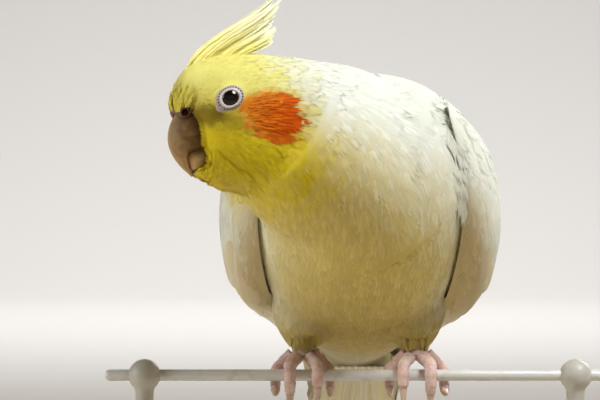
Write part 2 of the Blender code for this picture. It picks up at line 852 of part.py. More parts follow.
def leg(side, name, torso, perch):
    """One leg and its four claws, kept clear of the belly and of the perch."""
    foot = FOOT_SPREAD * side
    shank = tube(
        f"leg_{name}",
        [
            (foot, 4.4 * MM, 4.6 * MM, 2.3 * MM),
            (foot + side * 0.2 * MM, 5.6 * MM, 6.4 * MM, 2.5 * MM),
            (foot + side * 0.6 * MM, 8.0 * MM, 9.4 * MM, 2.2 * MM),
            (foot + side * 1.4 * MM, 12.0 * MM, 14.0 * MM, 2.2 * MM),
        ],
        12,
    )
    pieces, claws = [], []
    for number, outward, thickness, path, reach in TOES:
        rows = toe_rows(side, outward, thickness, path, reach)
        pieces.append(tube("toe", rows, TOE_SIDES))
        curl = -0.55 if path is FRONT_PATH else -0.35
        claws.append(tube(f"claw_{name}_{number}", claw_rows(rows, curl), 6))
    combine(shank, pieces, "UNION")
    cut_clear(shank, torso, perch)
    for claw in claws:
        cut_clear(claw, shank, perch, torso)
    return [shank, *claws]


# Perch and display stand


def upright(name, centre, radius, low, high, sides=12):
    rings = [
        oval(Vector((*centre, z)), LEFT, Vector((0, 1, 0)), r, r, r, sides)
        for z, r in ((low, radius), (high, radius))
    ]
    return loft(name, rings)


def perch_wire():
    half, round_off = PERCH_LENGTH / 2, 0.9 * MM
    rows = [(-half, 0, 0, PERCH_RADIUS * 0.55), (-half + round_off, 0, 0, PERCH_RADIUS)]
    rows += [(half - round_off, 0, 0, PERCH_RADIUS), (half, 0, 0, PERCH_RADIUS * 0.55)]
    return tube("perch", rows, 16, side_hint=UP)


def stand_rod(name, x, perch):
    """A rod on a flat foot, with a ball on top that the perch runs through."""
    floor = BASE_THICKNESS - PERCH_HEIGHT
    rod = upright(name, (x, 0), ROD_RADIUS, floor + 1.5 * MM, -1 * MM)
    foot = upright("foot", (x, 0), 7 * MM, floor + GAP, floor + 2.3 * MM)
    finial = ball("finial", Vector((x, 0, 0)), 4.2 * MM, 7, 12)
    combine(rod, [foot, finial], "UNION")
    return cut_clear(rod, perch)


def stand_base():
    corner, half_x, half_y = 14 * MM, BASE_WIDTH / 2, BASE_DEPTH / 2
    floor = -PERCH_HEIGHT
    rings = []
    for z, inset in ((0, 0.8), (0.8, 0), (5.0, 0), (6.0, 1.0)):
        ring = []
        for k in range(4):
            for step in range(7):
                angle = math.pi / 2 * (k + step / 6)
                c, s = math.cos(angle), math.sin(angle)
                x = math.copysign(half_x - corner, (1, -1, -1, 1)[k]) + c * (corner - inset * MM)
                y = math.copysign(half_y - corner, (1, 1, -1, -1)[k]) + s * (corner - inset * MM)
                ring.append(Vector((x, y + BASE_CENTRE_Y, floor + z * MM)))
        rings.append(ring)
    return loft("stand_base", rings)


# Colours: name, linear red, green and blue, roughness, metallic

COLOURS = {
    "torso": ((0.80, 0.78, 0.50), 0.85, 0.0),
    "neck": ((0.80, 0.77, 0.42), 0.85, 0.0),
    "head": ((0.76, 0.68, 0.12), 0.85, 0.0),
    "crest": ((0.82, 0.80, 0.33), 0.85, 0.0),
    "wing": ((0.80, 0.78, 0.68), 0.8, 0.0),
    "tail": ((0.80, 0.77, 0.46), 0.8, 0.0),
    "eye": ((0.012, 0.006, 0.006), 0.08, 0.0),
    "cere": ((0.36, 0.24, 0.15), 0.55, 0.0),
    "bill": ((0.22, 0.14, 0.09), 0.4, 0.0),
    "leg": ((0.62, 0.40, 0.37), 0.6, 0.0),
    "claw": ((0.55, 0.47, 0.36), 0.4, 0.0),
    "perch": ((0.72, 0.72, 0.70), 0.35, 0.0),
    "stand": ((0.62, 0.61, 0.58), 0.5, 0.0),
}


def paint(obj):
    kind = obj.name.split("_")[0]
    colour, roughness, metallic = COLOURS[kind]
    material = bpy.data.materials.new(obj.name)
    material.use_nodes = True
    shader = material.node_tree.nodes["Principled BSDF"]
    shader.inputs["Base Color"].default_value = (*colour, 1)
    shader.inputs["Roughness"].default_value = roughness
    shader.inputs["Metallic"].default_value = metallic
    obj.data.materials.clear()
    obj.data.materials.append(material)


def build():
    remove(*list(bpy.data.objects))
    skin = body_skin()
    torso, neck, head = parted_body(skin)
    parts = finished_head(head)
    plumed_tail = tail(torso)
    wings = [wing("wing_left", 1, skin, plumed_tail), wing("wing_right", -1, skin, plumed_tail)]
    perch = perch_wire()
    legs = leg(1, "left", torso, perch) + leg(-1, "right", torso, perch)
    rods = [
        stand_rod("stand_rod_left", ROD_SPREAD, perch),
        stand_rod("stand_rod_right", -ROD_SPREAD, perch),
    ]
    remove(skin)
    parts += [torso, neck, plumed_tail, *wings, *legs, perch, *rods, stand_base()]
    for obj in parts:
        obj.data.transform(Matrix.Translation((0, 0, PERCH_HEIGHT)))
        paint(obj)
        flat = obj.name == "stand_base"
        for polygon in obj.data.polygons:
            polygon.use_smooth = not flat
        obj.data.set_sharp_from_angle(angle=math.radians(40))


build()
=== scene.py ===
"""A yellow-faced white cockatiel leaning forward on a cage wire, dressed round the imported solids.

Metres, +Z up. The bird faces -Y, and its own left side is +X. Sizes are in millimetres where a name
says so, and places on the bird are given from the middle of the perch wire.
"""

import math

import bpy
import bmesh
import numpy as np
from mathutils import Matrix, Vector
from mathutils.bvhtree import BVHTree


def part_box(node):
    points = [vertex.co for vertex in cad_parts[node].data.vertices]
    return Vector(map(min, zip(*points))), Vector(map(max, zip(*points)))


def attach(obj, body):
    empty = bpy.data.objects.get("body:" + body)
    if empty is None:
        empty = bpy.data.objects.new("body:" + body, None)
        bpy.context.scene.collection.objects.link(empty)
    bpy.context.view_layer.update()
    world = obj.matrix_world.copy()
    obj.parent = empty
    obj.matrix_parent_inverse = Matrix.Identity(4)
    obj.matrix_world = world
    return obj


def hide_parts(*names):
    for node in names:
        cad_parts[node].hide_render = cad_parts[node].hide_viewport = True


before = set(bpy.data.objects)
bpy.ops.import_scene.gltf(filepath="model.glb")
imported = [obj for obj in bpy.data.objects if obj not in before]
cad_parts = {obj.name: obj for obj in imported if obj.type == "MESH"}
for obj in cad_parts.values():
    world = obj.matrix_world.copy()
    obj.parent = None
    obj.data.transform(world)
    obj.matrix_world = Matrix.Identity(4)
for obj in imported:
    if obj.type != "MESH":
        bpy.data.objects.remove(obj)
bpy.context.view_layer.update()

# Camera
# It stands level with the bird's neck, a little to the bird's right, where the photograph was taken
# from. The picture is 600 pixels wide, and 3.85 of them span a millimetre at the wire.
MM = 0.001
PICTURE_WIDTH = 600
PIXELS_PER_MM = 3.85
CAMERA_DISTANCE = 650
wire_low, wire_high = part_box("perch")
WIRE = Vector((0, 0, (wire_low.z + wire_high.z) / 2))


def from_wire(x, y, z):
    """A place given in millimetres from the middle of the perch wire."""
    return WIRE + Vector((x, y, z)) * MM


def new_object(name, data):
    made = bpy.data.objects.new(name, data)
    bpy.context.scene.collection.objects.link(made)
    return made


camera = new_object("camera", bpy.data.cameras.new("camera"))
camera.location = from_wire(-15.6, -CAMERA_DISTANCE, 45.5)
camera.rotation_euler = (math.radians(90), 0, 0)
camera.data.sensor_width = 36
camera.data.lens = camera.data.sensor_width * PIXELS_PER_MM * CAMERA_DISTANCE / PICTURE_WIDTH
bpy.context.scene.camera = camera

# Materials
# Every finish is one Principled shader with its pattern worked out from the place on the surface.
# Sums on a pattern add the nodes that they need.


class Pattern:
    """A number drawn over a surface. Sums on it add Math nodes to its finish."""

    def __init__(self, finish, socket):
        self.finish = finish
        self.socket = socket

    def math(self, operation, *values):
        return self.finish.node("ShaderNodeMath", {"operation": operation}, dict(enumerate(values)))

    def __add__(self, other):
        return self.math("ADD", self, other)

    def __sub__(self, other):
        return self.math("SUBTRACT", self, other)

    def __rsub__(self, other):
        return self.math("SUBTRACT", other, self)

    def __mul__(self, other):
        return self.math("MULTIPLY", self, other)

    def __truediv__(self, other):
        return self.math("DIVIDE", self, other)

    def __pow__(self, other):
        return self.math("POWER", self, other)

    def __abs__(self):
        return self.math("ABSOLUTE", self)

    __radd__ = __add__
    __rmul__ = __mul__

    def wave(self):
        return self.math("SINE", self)

    def between(self, low, high):
        """0 at low, 1 at high, and a soft step from one to the other."""
        settings = {"interpolation_type": "SMOOTHSTEP"}
        rising = low < high
        sockets = {0: self, 1: min(low, high), 2: max(low, high), 3: 1 - rising, 4: int(rising)}
        return self.finish.node("ShaderNodeMapRange", settings, sockets)


class Finish:
    """A material with one Principled shader, whose plain values are set on its own sockets."""

    def __init__(self, name, **plain):
        self.material = bpy.data.materials.new(name)
        self.material.use_nodes = True
        self.tree = self.material.node_tree
        self.shader = self.tree.nodes["Principled BSDF"]
        for socket, value in plain.items():
            self.shader.inputs[socket.replace("_", " ")].default_value = value

    def node(self, kind, settings=None, sockets=None, output=0):
        made = self.tree.nodes.new(kind)
        for name, value in (settings or {}).items():
            setattr(made, name, value)
        for name, value in (sockets or {}).items():
            self.join(value, made.inputs[name])
        return Pattern(self, made.outputs[output])

    def join(self, value, socket):
        if isinstance(value, Pattern):
            self.tree.links.new(value.socket, socket)
        elif isinstance(value, tuple) and len(value) == 3 and socket.type == "RGBA":
            socket.default_value = (*value, 1)
        else:
            socket.default_value = value

    def attribute(self, name, output="Vector"):
        return self.node("ShaderNodeAttribute", {"attribute_name": name}, output=output)

    def place(self, scale=1 / MM):
        """The place on the surface, in millimetres unless scaled."""
        here = self.node("ShaderNodeTexCoord", output="Object")
        return self.vector("SCALE", here, Scale=scale)

    def vector(self, operation, *values, output=0, **named):
        sockets = {**dict(enumerate(values)), **named}
        return self.node("ShaderNodeVectorMath", {"operation": operation}, sockets, output)

    def parts(self, vector):
        split = self.node("ShaderNodeSeparateXYZ", sockets={0: vector})
        return [Pattern(self, socket) for socket in split.socket.node.outputs]

    def noise(self, vector, scale, detail=2.0):
        sockets = {"Vector": vector, "Scale": scale, "Detail": detail}
        return self.node("ShaderNodeTexNoise", sockets=sockets)

    def cells(self, vector, scale, feature="F1"):
        sockets = {"Vector": vector, "Scale": scale}
        return self.node("ShaderNodeTexVoronoi", {"feature": feature}, sockets)

    def blend(self, first, second, share):
        """A colour that runs from the first to the second."""
        return self.node("ShaderNodeMix", {"data_type": "RGBA"}, {0: share, 6: first, 7: second}, 2)

    def colour(self, pattern):
        self.join(pattern, self.shader.inputs["Base Color"])

    def roughness(self, pattern):
        self.join(pattern, self.shader.inputs["Roughness"])

    def bump(self, height, distance, strength=1.0):
        sockets = {"Height": height, "Distance": distance * MM, "Strength": strength}
        self.join(self.node("ShaderNodeBump", sockets=sockets), self.shader.inputs["Normal"])


def shade(red, green, blue):
    """A colour as it is read off a screen, 0 to 255, turned into the amounts that the shader takes."""
    parts = (red / 255, green / 255, blue / 255)
    return tuple(c / 12.92 if c < 0.04045 else ((c + 0.055) / 1.055) ** 2.4 for c in parts)


# Floor and light
# A pale warm studio floor that sweeps up all round like a shallow dish, far outside the model. One soft
# lamp hangs over the bird, weaker ones shine from its right and from behind, and one lights the wall.


def triangle_mesh(name, corners, triangles, smooth=True):
    """An object made from arrays of corners and triangles."""
    corners = np.asarray(corners, np.float32).reshape(-1, 3)
    triangles = np.asarray(triangles, np.int32).reshape(-1, 3)
    mesh = bpy.data.meshes.new(name)
    mesh.vertices.add(len(corners))
    mesh.vertices.foreach_set("co", corners.ravel())
    mesh.loops.add(triangles.size)
    mesh.loops.foreach_set("vertex_index", triangles.ravel())
    mesh.polygons.add(len(triangles))
    mesh.polygons.foreach_set("loop_start", np.arange(0, triangles.size, 3, dtype=np.int32))
    mesh.update()
    mesh.polygons.foreach_set("use_smooth", np.full(len(triangles), smooth))
    return new_object(name, mesh)


def grid_triangles(rows, columns, round_columns=True, start=0):
    """Triangles over a grid of corners, closed round its columns if asked."""
    last = columns if round_columns else columns - 1
    row, column = np.meshgrid(np.arange(rows - 1), np.arange(last), indexing="ij")
    a = start + row * columns + column
    b = start + row * columns + (column + 1) % columns
    return np.concatenate([np.stack(c, -1).reshape(-1, 3) for c in ((a, b, b + columns), (a, b + columns, a + columns))])


def turned(profile, sides, centre):
    """Corners and triangles of a shape turned about an upright axis from rows of (radius, height)."""
    turns = 2 * math.pi * np.arange(sides) / sides
    profile = np.array(profile, float)
    x = profile[:, :1] * np.cos(turns) + centre[0]
    y = profile[:, :1] * np.sin(turns) + centre[1]
    z = profile[:, 1:] + np.zeros(sides) + centre[2]
    return np.stack((x, y, z), -1).reshape(-1, 3), grid_triangles(len(profile), sides)


DISH_FLAT, DISH_RADIUS, DISH_HEIGHT = 3.0, 5.0, 2.4
dish = [(0.001, 0.0), (0.3, 0.0), (1.0, 0.0), (2.0, 0.0), (DISH_FLAT, 0.0)]
for step in range(1, 17):
    lean = math.pi / 2 * step / 16
    reach = DISH_FLAT + (DISH_RADIUS - DISH_FLAT) * math.sin(lean)
    dish.append((reach, DISH_HEIGHT * (1 - math.cos(lean))))
floor = triangle_mesh("floor", *turned(dish, 96, (0, 0, 0)))
floor_finish = Finish("pale_floor", Roughness=0.85)
far = floor_finish.vector("LENGTH", floor_finish.place(1.0), output="Value").between(0.3, 1.5)
floor_finish.colour(floor_finish.blend((0.62, 0.52, 0.38), (0.72, 0.70, 0.68), far))
floor.data.materials.append(floor_finish.material)


def lamp(name, place, aim, size, power, colour, spread=180):
    made = new_object(name, bpy.data.lights.new(name, "AREA"))
    made.data.shape = "DISK"
    made.data.size = size
    made.data.energy = power
    made.data.color = colour
    made.data.spread = math.radians(spread)
    made.location = place
    made.rotation_euler = (Vector(aim) - Vector(place)).to_track_quat("-Z", "Y").to_euler()


BIRD = from_wire(-5, 0, 40)
lamp("overhead_lamp", (0.40, -0.36, 0.82), BIRD, 0.42, 1.26, (1.0, 1.0, 0.96), spread=70)
lamp("side_lamp", (-0.80, -0.22, 0.34), BIRD, 0.45, 2.8, (1.0, 0.98, 0.92))
lamp("back_lamp", (0.5, 0.75, 0.55), BIRD, 0.5, 3.0, (1.0, 0.98, 0.95))
for name, x, y, power in (("back", 0, 1, 47), ("front", 0, -1, 12), ("left", 1, 0, 12), ("right", -1, 0, 12)):
    lamp(f"wall_lamp_{name}", (1.5 * x, 1.5 * y, 2.3), (3.3 * x, 3.3 * y, 0.08), 1.6, power, (1.0, 1.0, 1.0), spread=120)
world = bpy.data.worlds.new("studio")
world.use_nodes = True
world.node_tree.nodes["Background"].inputs["Color"].default_value = (1.0, 0.86, 0.62, 1)
world.node_tree.nodes["Background"].inputs["Strength"].default_value = 0.07
bpy.context.scene.world = world
bpy.context.scene.view_settings.view_transform = "Standard"

# Skin
# One smooth skin under the plumage of head, neck, torso and thighs. It is the solids' own outside,
# fused over their thin cuts and drawn in by the depth of the feathers that lie on it.
PITCH = math.radians(38)
FORWARD = Vector((0, -math.cos(PITCH), math.sin(PITCH)))
DORSAL = Vector((0, math.sin(PITCH), math.cos(PITCH)))
LEFT = Vector((1, 0, 0))
UP = Vector((0, 0, 1))
TORSO_CENTRE = from_wire(0, 4, 41)
HEAD_CENTRE = from_wire(-34.8, -42, 69.8)
HEAD_TURN = math.radians(75)
HEAD_FORWARD = Vector((-math.sin(HEAD_TURN), -math.cos(HEAD_TURN), 0))
HEAD_LEFT = UP.cross(HEAD_FORWARD)


def torso_axis(place):
    return TORSO_CENTRE + FORWARD * place * MM


def head_point(u, v, left=0.0):
    """A point of the head, in millimetres forward, up and left from the midpoint between the eyes."""
    return HEAD_CENTRE + (HEAD_FORWARD * u + UP * v + HEAD_LEFT * left) * MM


def head_places(points):
    """The same three measures of many points."""
    offsets = (np.asarray(points) - np.array(HEAD_CENTRE)) / MM
    return offsets @ np.array((HEAD_FORWARD, UP, HEAD_LEFT)).T


BILL_BASE = head_point(10.5, -4)
EYE_PLACES = np.array([head_point(0.3, 0, side * 12.4) for side in (1, -1)])
FOOT_PLACES = np.array([from_wire(side * 14.8, 5, 5) for side in (1, -1)])
# Length of the feathers, in millimetres, by distance from the bill's base.
LENGTH_BY_DISTANCE = ((0, 1.7), (5, 2.3), (10, 3.3), (16, 4.8), (24, 6.4), (34, 8.4), (50, 10.5), (120, 12.5))
COAT_DEPTH_SHARE = 0.065


def distances(points, places):
    """From each point to the nearest of the places, in millimetres."""
    gaps = np.asarray(points)[:, None, :] - np.asarray(places)[None, :, :]
    return np.linalg.norm(gaps, axis=2).min(axis=1) / MM


def feather_lengths(points):
    """Feathers are tiny on the face, round the eyes and at the feet, and longest towards the tail."""
    table = np.array(LENGTH_BY_DISTANCE)
    lengths = np.interp(distances(points, [BILL_BASE]), table[:, 0], table[:, 1])
    lengths *= np.interp(distances(points, EYE_PLACES), (3.5, 6, 10), (0.42, 0.75, 1.0))
    lengths *= np.interp(distances(points, FOOT_PLACES), (4, 12, 24), (0.6, 0.75, 1.0))
    return lengths


SKIN_SWELL = 0.35
flesh = bmesh.new()
for node in ("torso", "neck", "head"):
    flesh.from_mesh(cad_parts[node].data)
bmesh.ops.remove_doubles(flesh, verts=flesh.verts, dist=0.00001)
flesh.normal_update()
swollen = [(vertex, vertex.co + vertex.normal * SKIN_SWELL * MM) for vertex in flesh.verts]
for vertex, place in swollen:
    vertex.co = place
skin = new_object("skin", bpy.data.meshes.new("skin"))
flesh.to_mesh(skin.data)
flesh.free()


def apply_modifiers(made):
    graph = bpy.context.evaluated_depsgraph_get()
    mesh = bpy.data.meshes.new_from_object(made.evaluated_get(graph))
    made.modifiers.clear()
    made.data = mesh


fuse = skin.modifiers.new("fuse", "REMESH")
fuse.mode = "VOXEL"
fuse.voxel_size = 0.75 * MM
soften = skin.modifiers.new("soften", "SMOOTH")
soften.factor = 0.5
soften.iterations = 5
apply_modifiers(skin)


def mesh_arrays(mesh):
    """Corners and their normals, as arrays."""
    corners = np.zeros(len(mesh.vertices) * 3)
    normals = np.zeros(len(mesh.vertices) * 3)
    mesh.vertices.foreach_get("co", corners)
    mesh.vertices.foreach_get("normal", normals)
    return corners.reshape(-1, 3), normals.reshape(-1, 3)


corners, normals = mesh_arrays(skin.data)
sunk = SKIN_SWELL + COAT_DEPTH_SHARE * feather_lengths(corners)
skin.data.vertices.foreach_set("co", (corners - normals * sunk[:, None] * MM).ravel())
skin.data.update()
skin.data.shade_smooth()


class Surface:
    """The outside of some objects, with a search for the place on it that is nearest to a point."""

    def __init__(self, *objects):
        corners, normals, faces, count = [], [], [], 0
        for made in objects:
            made.data.calc_loop_triangles()
            found = np.zeros(len(made.data.loop_triangles) * 3, np.int32)
            made.data.loop_triangles.foreach_get("vertices", found)
            faces.append(found.reshape(-1, 3) + count)
            for kept, values in zip((corners, normals), mesh_arrays(made.data)):
                kept.append(values)
            count += len(made.data.vertices)
        self.corners, self.normals = np.concatenate(corners), np.concatenate(normals)
        self.faces = np.concatenate(faces)
        self.tree = BVHTree.FromPolygons(self.corners.tolist(), self.faces.tolist())

    def nearest(self, points):
        """The nearest places, and the way that the surface faces there, smoothed over its corners."""
        found = [self.tree.find_nearest(point) for point in np.asarray(points).tolist()]
        places = np.array([hit[0] for hit in found])
        around = self.faces[[hit[2] for hit in found]]
        weights = 1 / (np.linalg.norm(self.corners[around] - places[:, None], axis=2) + 0.01 * MM)
        facing = (self.normals[around] * weights[:, :, None]).sum(axis=1)
        return places, facing / np.linalg.norm(facing, axis=1, keepdims=True)

    def meets(self, start, way, reach):
        """Whether a line from the start meets the surface within the reach, in millimetres."""
        return self.tree.ray_cast(Vector(start), Vector(way), reach * MM)[0] is not None


skin_surface = Surface(skin)

# Wing cores
# Each folded wing has a closed core of skin and down that wraps the body's side. Its sheet is set by
# a few stations along the torso, and everything on the wing is placed by place, angle and height on it.
BODY_POWER = 2.35
# Rows: place along the torso, half width, top, bottom, lift, outer height of the folded wing.
WING_STATIONS = (
    (-138, 7.0, 6.5, 6.5, 5.0, 0.8),
    (-100, 11.0, 8.5, 8.5, 5.0, 2.2),
    (-70, 15.0, 11.0, 11.0, 4.0, 4.0),
    (-52, 18.0, 13.0, 14.0, 1.5, 5.8),
    (-36, 21.6, 17.0, 18.8, 0.2, 8.4),
    (-18, 26.2, 21.5, 24.4, 0.0, 9.2),
    (0, 29.2, 23.6, 27.6, 0.0, 8.1),
    (16, 29.2, 23.6, 28.2, 0.0, 5.8),
    (27, 27.4, 22.4, 26.0, 0.0, 3.7),
    (36, 23.8, 19.0, 21.6, 0.0, 2.2),
    (42, 20.8, 16.6, 18.8, 0.0, 1.2),
)
# Rows: place, angle of the lower edge, angle of the upper edge.
WING_EDGES = (
    (-138, 24, 40),
    (-100, 10, 54),
    (-60, -9, 68),
    (-45, -16, 72),
    (-30, -29, 72),
    (-15, -38, 68),
    (0, -39, 58),
    (14, -35, 46),
    (25, -27, 34),
    (32, -18, 26),
    (38, -8, 17),
    (41, 0, 10),
)
# The right wing is held a little higher at its lower edge, in degrees.
WING_TUCK = {1: 0.0, -1: 5.0}
SIDES = {"left": 1, "right": -1}


def between(stations, place):
    """The values at any places on a smooth curve through rows of (place, value, value, ...)."""
    table = np.array(stations, float)
    places, values = table[:, 0], table[:, 1:]
    slopes = np.gradient(values, places, axis=0)
    place = np.asarray(place, float)
    k = np.clip(np.searchsorted(places, place) - 1, 0, len(places) - 2)
    span = (places[k + 1] - places[k])[..., None]
    t = np.clip((place[..., None] - places[k][..., None]) / span, 0, 1)
    return (
        (1 + 2 * t) * (1 - t) ** 2 * values[k]
        + t * (1 - t) ** 2 * span * slopes[k]
        + t * t * (3 - 2 * t) * values[k + 1]
        - t * t * (1 - t) * span * slopes[k + 1]
    )


def smooth_share(low, high, value):
    t = np.clip((value - low) / (high - low), 0, 1)
    return t * t * (3 - 2 * t)


def wing_edges(side, place):
    low, high = np.moveaxis(between(WING_EDGES, place), -1, 0)
    return low + WING_TUCK[side], high


def wing_point(side, place, angle, height):
    """A point at a height over the wing's sheet: place runs forward, angle up round the side."""
    place, angle, height = np.broadcast_arrays(place, angle, height)
    half_width, top, bottom, lift, _ = np.moveaxis(between(WING_STATIONS, place), -1, 0)
    c, s = np.cos(np.radians(angle)), np.sin(np.radians(angle))
    x = np.sign(c) * np.abs(c) ** (2 / BODY_POWER) * (half_width + height)
    z = np.sign(s) * np.abs(s) ** (2 / BODY_POWER) * (np.where(s > 0, top, bottom) + height) + lift
    offset = np.multiply.outer(z, np.array(DORSAL)) + np.multiply.outer(side * x, np.array(LEFT))
    return np.array(TORSO_CENTRE) + (np.multiply.outer(place, np.array(FORWARD)) + offset) * MM


def wing_crown(side, place, angle):
    """The height of the folded wing's outer face over the sheet. It runs out softly at its upper edge."""
    low, high = wing_edges(side, place)
    full = between(WING_STATIONS, place)[..., 4]
    across = np.clip(2 * (angle - low) / (high - low) - 1, -1, 1)
    swell = np.where(across < 0, (1 - np.abs(across) ** 3) ** 0.6, 1 - smooth_share(0.0, 1.0, across) ** 1.3)
    floor = -1.2 * smooth_share(-45, -65, place)
    edge = np.interp(across, (-1, 0, 1), (0.9, 0.7, 0.3))
    return floor + edge + (full - 0.7) * swell * (1 - 0.35 * smooth_share(10, 60, angle))


def outward(corners, faces):
    """The faces of a closed form, all turned to face outwards."""
    a, b, c = [corners[faces[:, k]] for k in range(3)]
    return faces if (a * np.cross(b, c)).sum() > 0 else faces[:, ::-1]


def ring_faces(rows, count):
    """Triangles over rings of corners, with both ends capped flat."""
    turn = np.arange(1, count - 1)
    first = np.stack((np.zeros_like(turn), turn + 1, turn), -1)
    last = np.stack((np.zeros_like(turn), turn, turn + 1), -1) + (rows - 1) * count
    return np.concatenate((grid_triangles(rows, count), first, last))


def closed_loft(name, rings):
    """A closed object through rings of equal count."""
    rings = np.asarray(rings)
    corners = rings.reshape(-1, 3)
    offset = corners - corners.mean(axis=0)
    return triangle_mesh(name, corners, outward(offset, ring_faces(*rings.shape[:2])))


COVERT_DEPTH = 0.55
wing_cores = {}
for name, side in SIDES.items():
    place = np.linspace(41, -74, 56)[:, None] + np.zeros(30)
    low, high = wing_edges(side, place)
    angle = low + (high - low) * np.linspace(0, 1, 30)
    inner = wing_point(side, place, angle, 0.25 - 1.2 * smooth_share(-45, -65, place))
    outer = wing_point(side, place, angle, wing_crown(side, place, angle) - COVERT_DEPTH)
    ring = np.concatenate((outer, inner[:, ::-1]), axis=1)
    wing_cores[name] = closed_loft(f"wing_{name}_core", ring)

# Tail core and shell
# The tail's quills sit in a flat root behind the rump. A shell over body, wing cores and tail root
# guides the feathers that run from one to the other, and is then removed.
TAIL_DROP = math.radians(36)
TAIL_YAW = math.radians(4)
TAIL_ROOT = torso_axis(-57)
TAIL_SIDE = Vector((math.cos(TAIL_YAW), math.sin(TAIL_YAW), 0))
TAIL_BACK = UP.cross(TAIL_SIDE) * math.cos(TAIL_DROP) - UP * math.sin(TAIL_DROP)
TAIL_UP = TAIL_SIDE.cross(TAIL_BACK)
# Rows: place behind the root, half width, top, bottom.
TAIL_CORE = ((-6, 5.0, 1.6, 3.0), (2, 8.0, 2.3, 5.0), (12, 9.0, 2.1, 5.2), (22, 8.0, 1.3, 4.6), (27, 4.6, 0.4, 3.0))


def tail_point(place, across, height):
    place, across, height = np.broadcast_arrays(place, across, height)
    axes = np.array((TAIL_BACK, TAIL_SIDE, TAIL_UP))
    return np.array(TAIL_ROOT) + np.stack((place, across, height), -1) @ axes * MM


place = np.linspace(TAIL_CORE[0][0], TAIL_CORE[-1][0], 24)[:, None]
half_width, top, bottom = np.moveaxis(between(TAIL_CORE, place), -1, 0)
turn = 2 * math.pi * np.arange(40) / 40
height = np.sin(turn) * np.where(np.sin(turn) > 0, top, bottom)
tail_core = closed_loft("tail_core", tail_point(place, np.cos(turn) * half_width, height))

shell = new_object("shell", bpy.data.meshes.new("shell"))
hull = bmesh.new()
for made in (skin, *wing_cores.values(), tail_core):
    hull.from_mesh(made.data)
hull.to_mesh(shell.data)
hull.free()
fuse = shell.modifiers.new("fuse", "REMESH")
fuse.mode = "VOXEL"
fuse.voxel_size = 0.9 * MM
soften = shell.modifiers.new("soften", "SMOOTH")
soften.factor = 0.5
soften.iterations = 6
apply_modifiers(shell)
shell_surface = Surface(shell)
wing_surfaces = {name: Surface(core) for name, core in wing_cores.items()}

# Plumage colours
# White feathers washed with yellow: lemon on the face and crest, cream on the back, straw on the belly,
# with an orange cheek patch. The pigment is in the barbs, so a feather takes its colour from its root.
CHEEK_CENTRE = (-7.0, -4.0)
CHEEK_HALF = (5.9, 5.3)
CHEEK_TILT = math.radians(14)


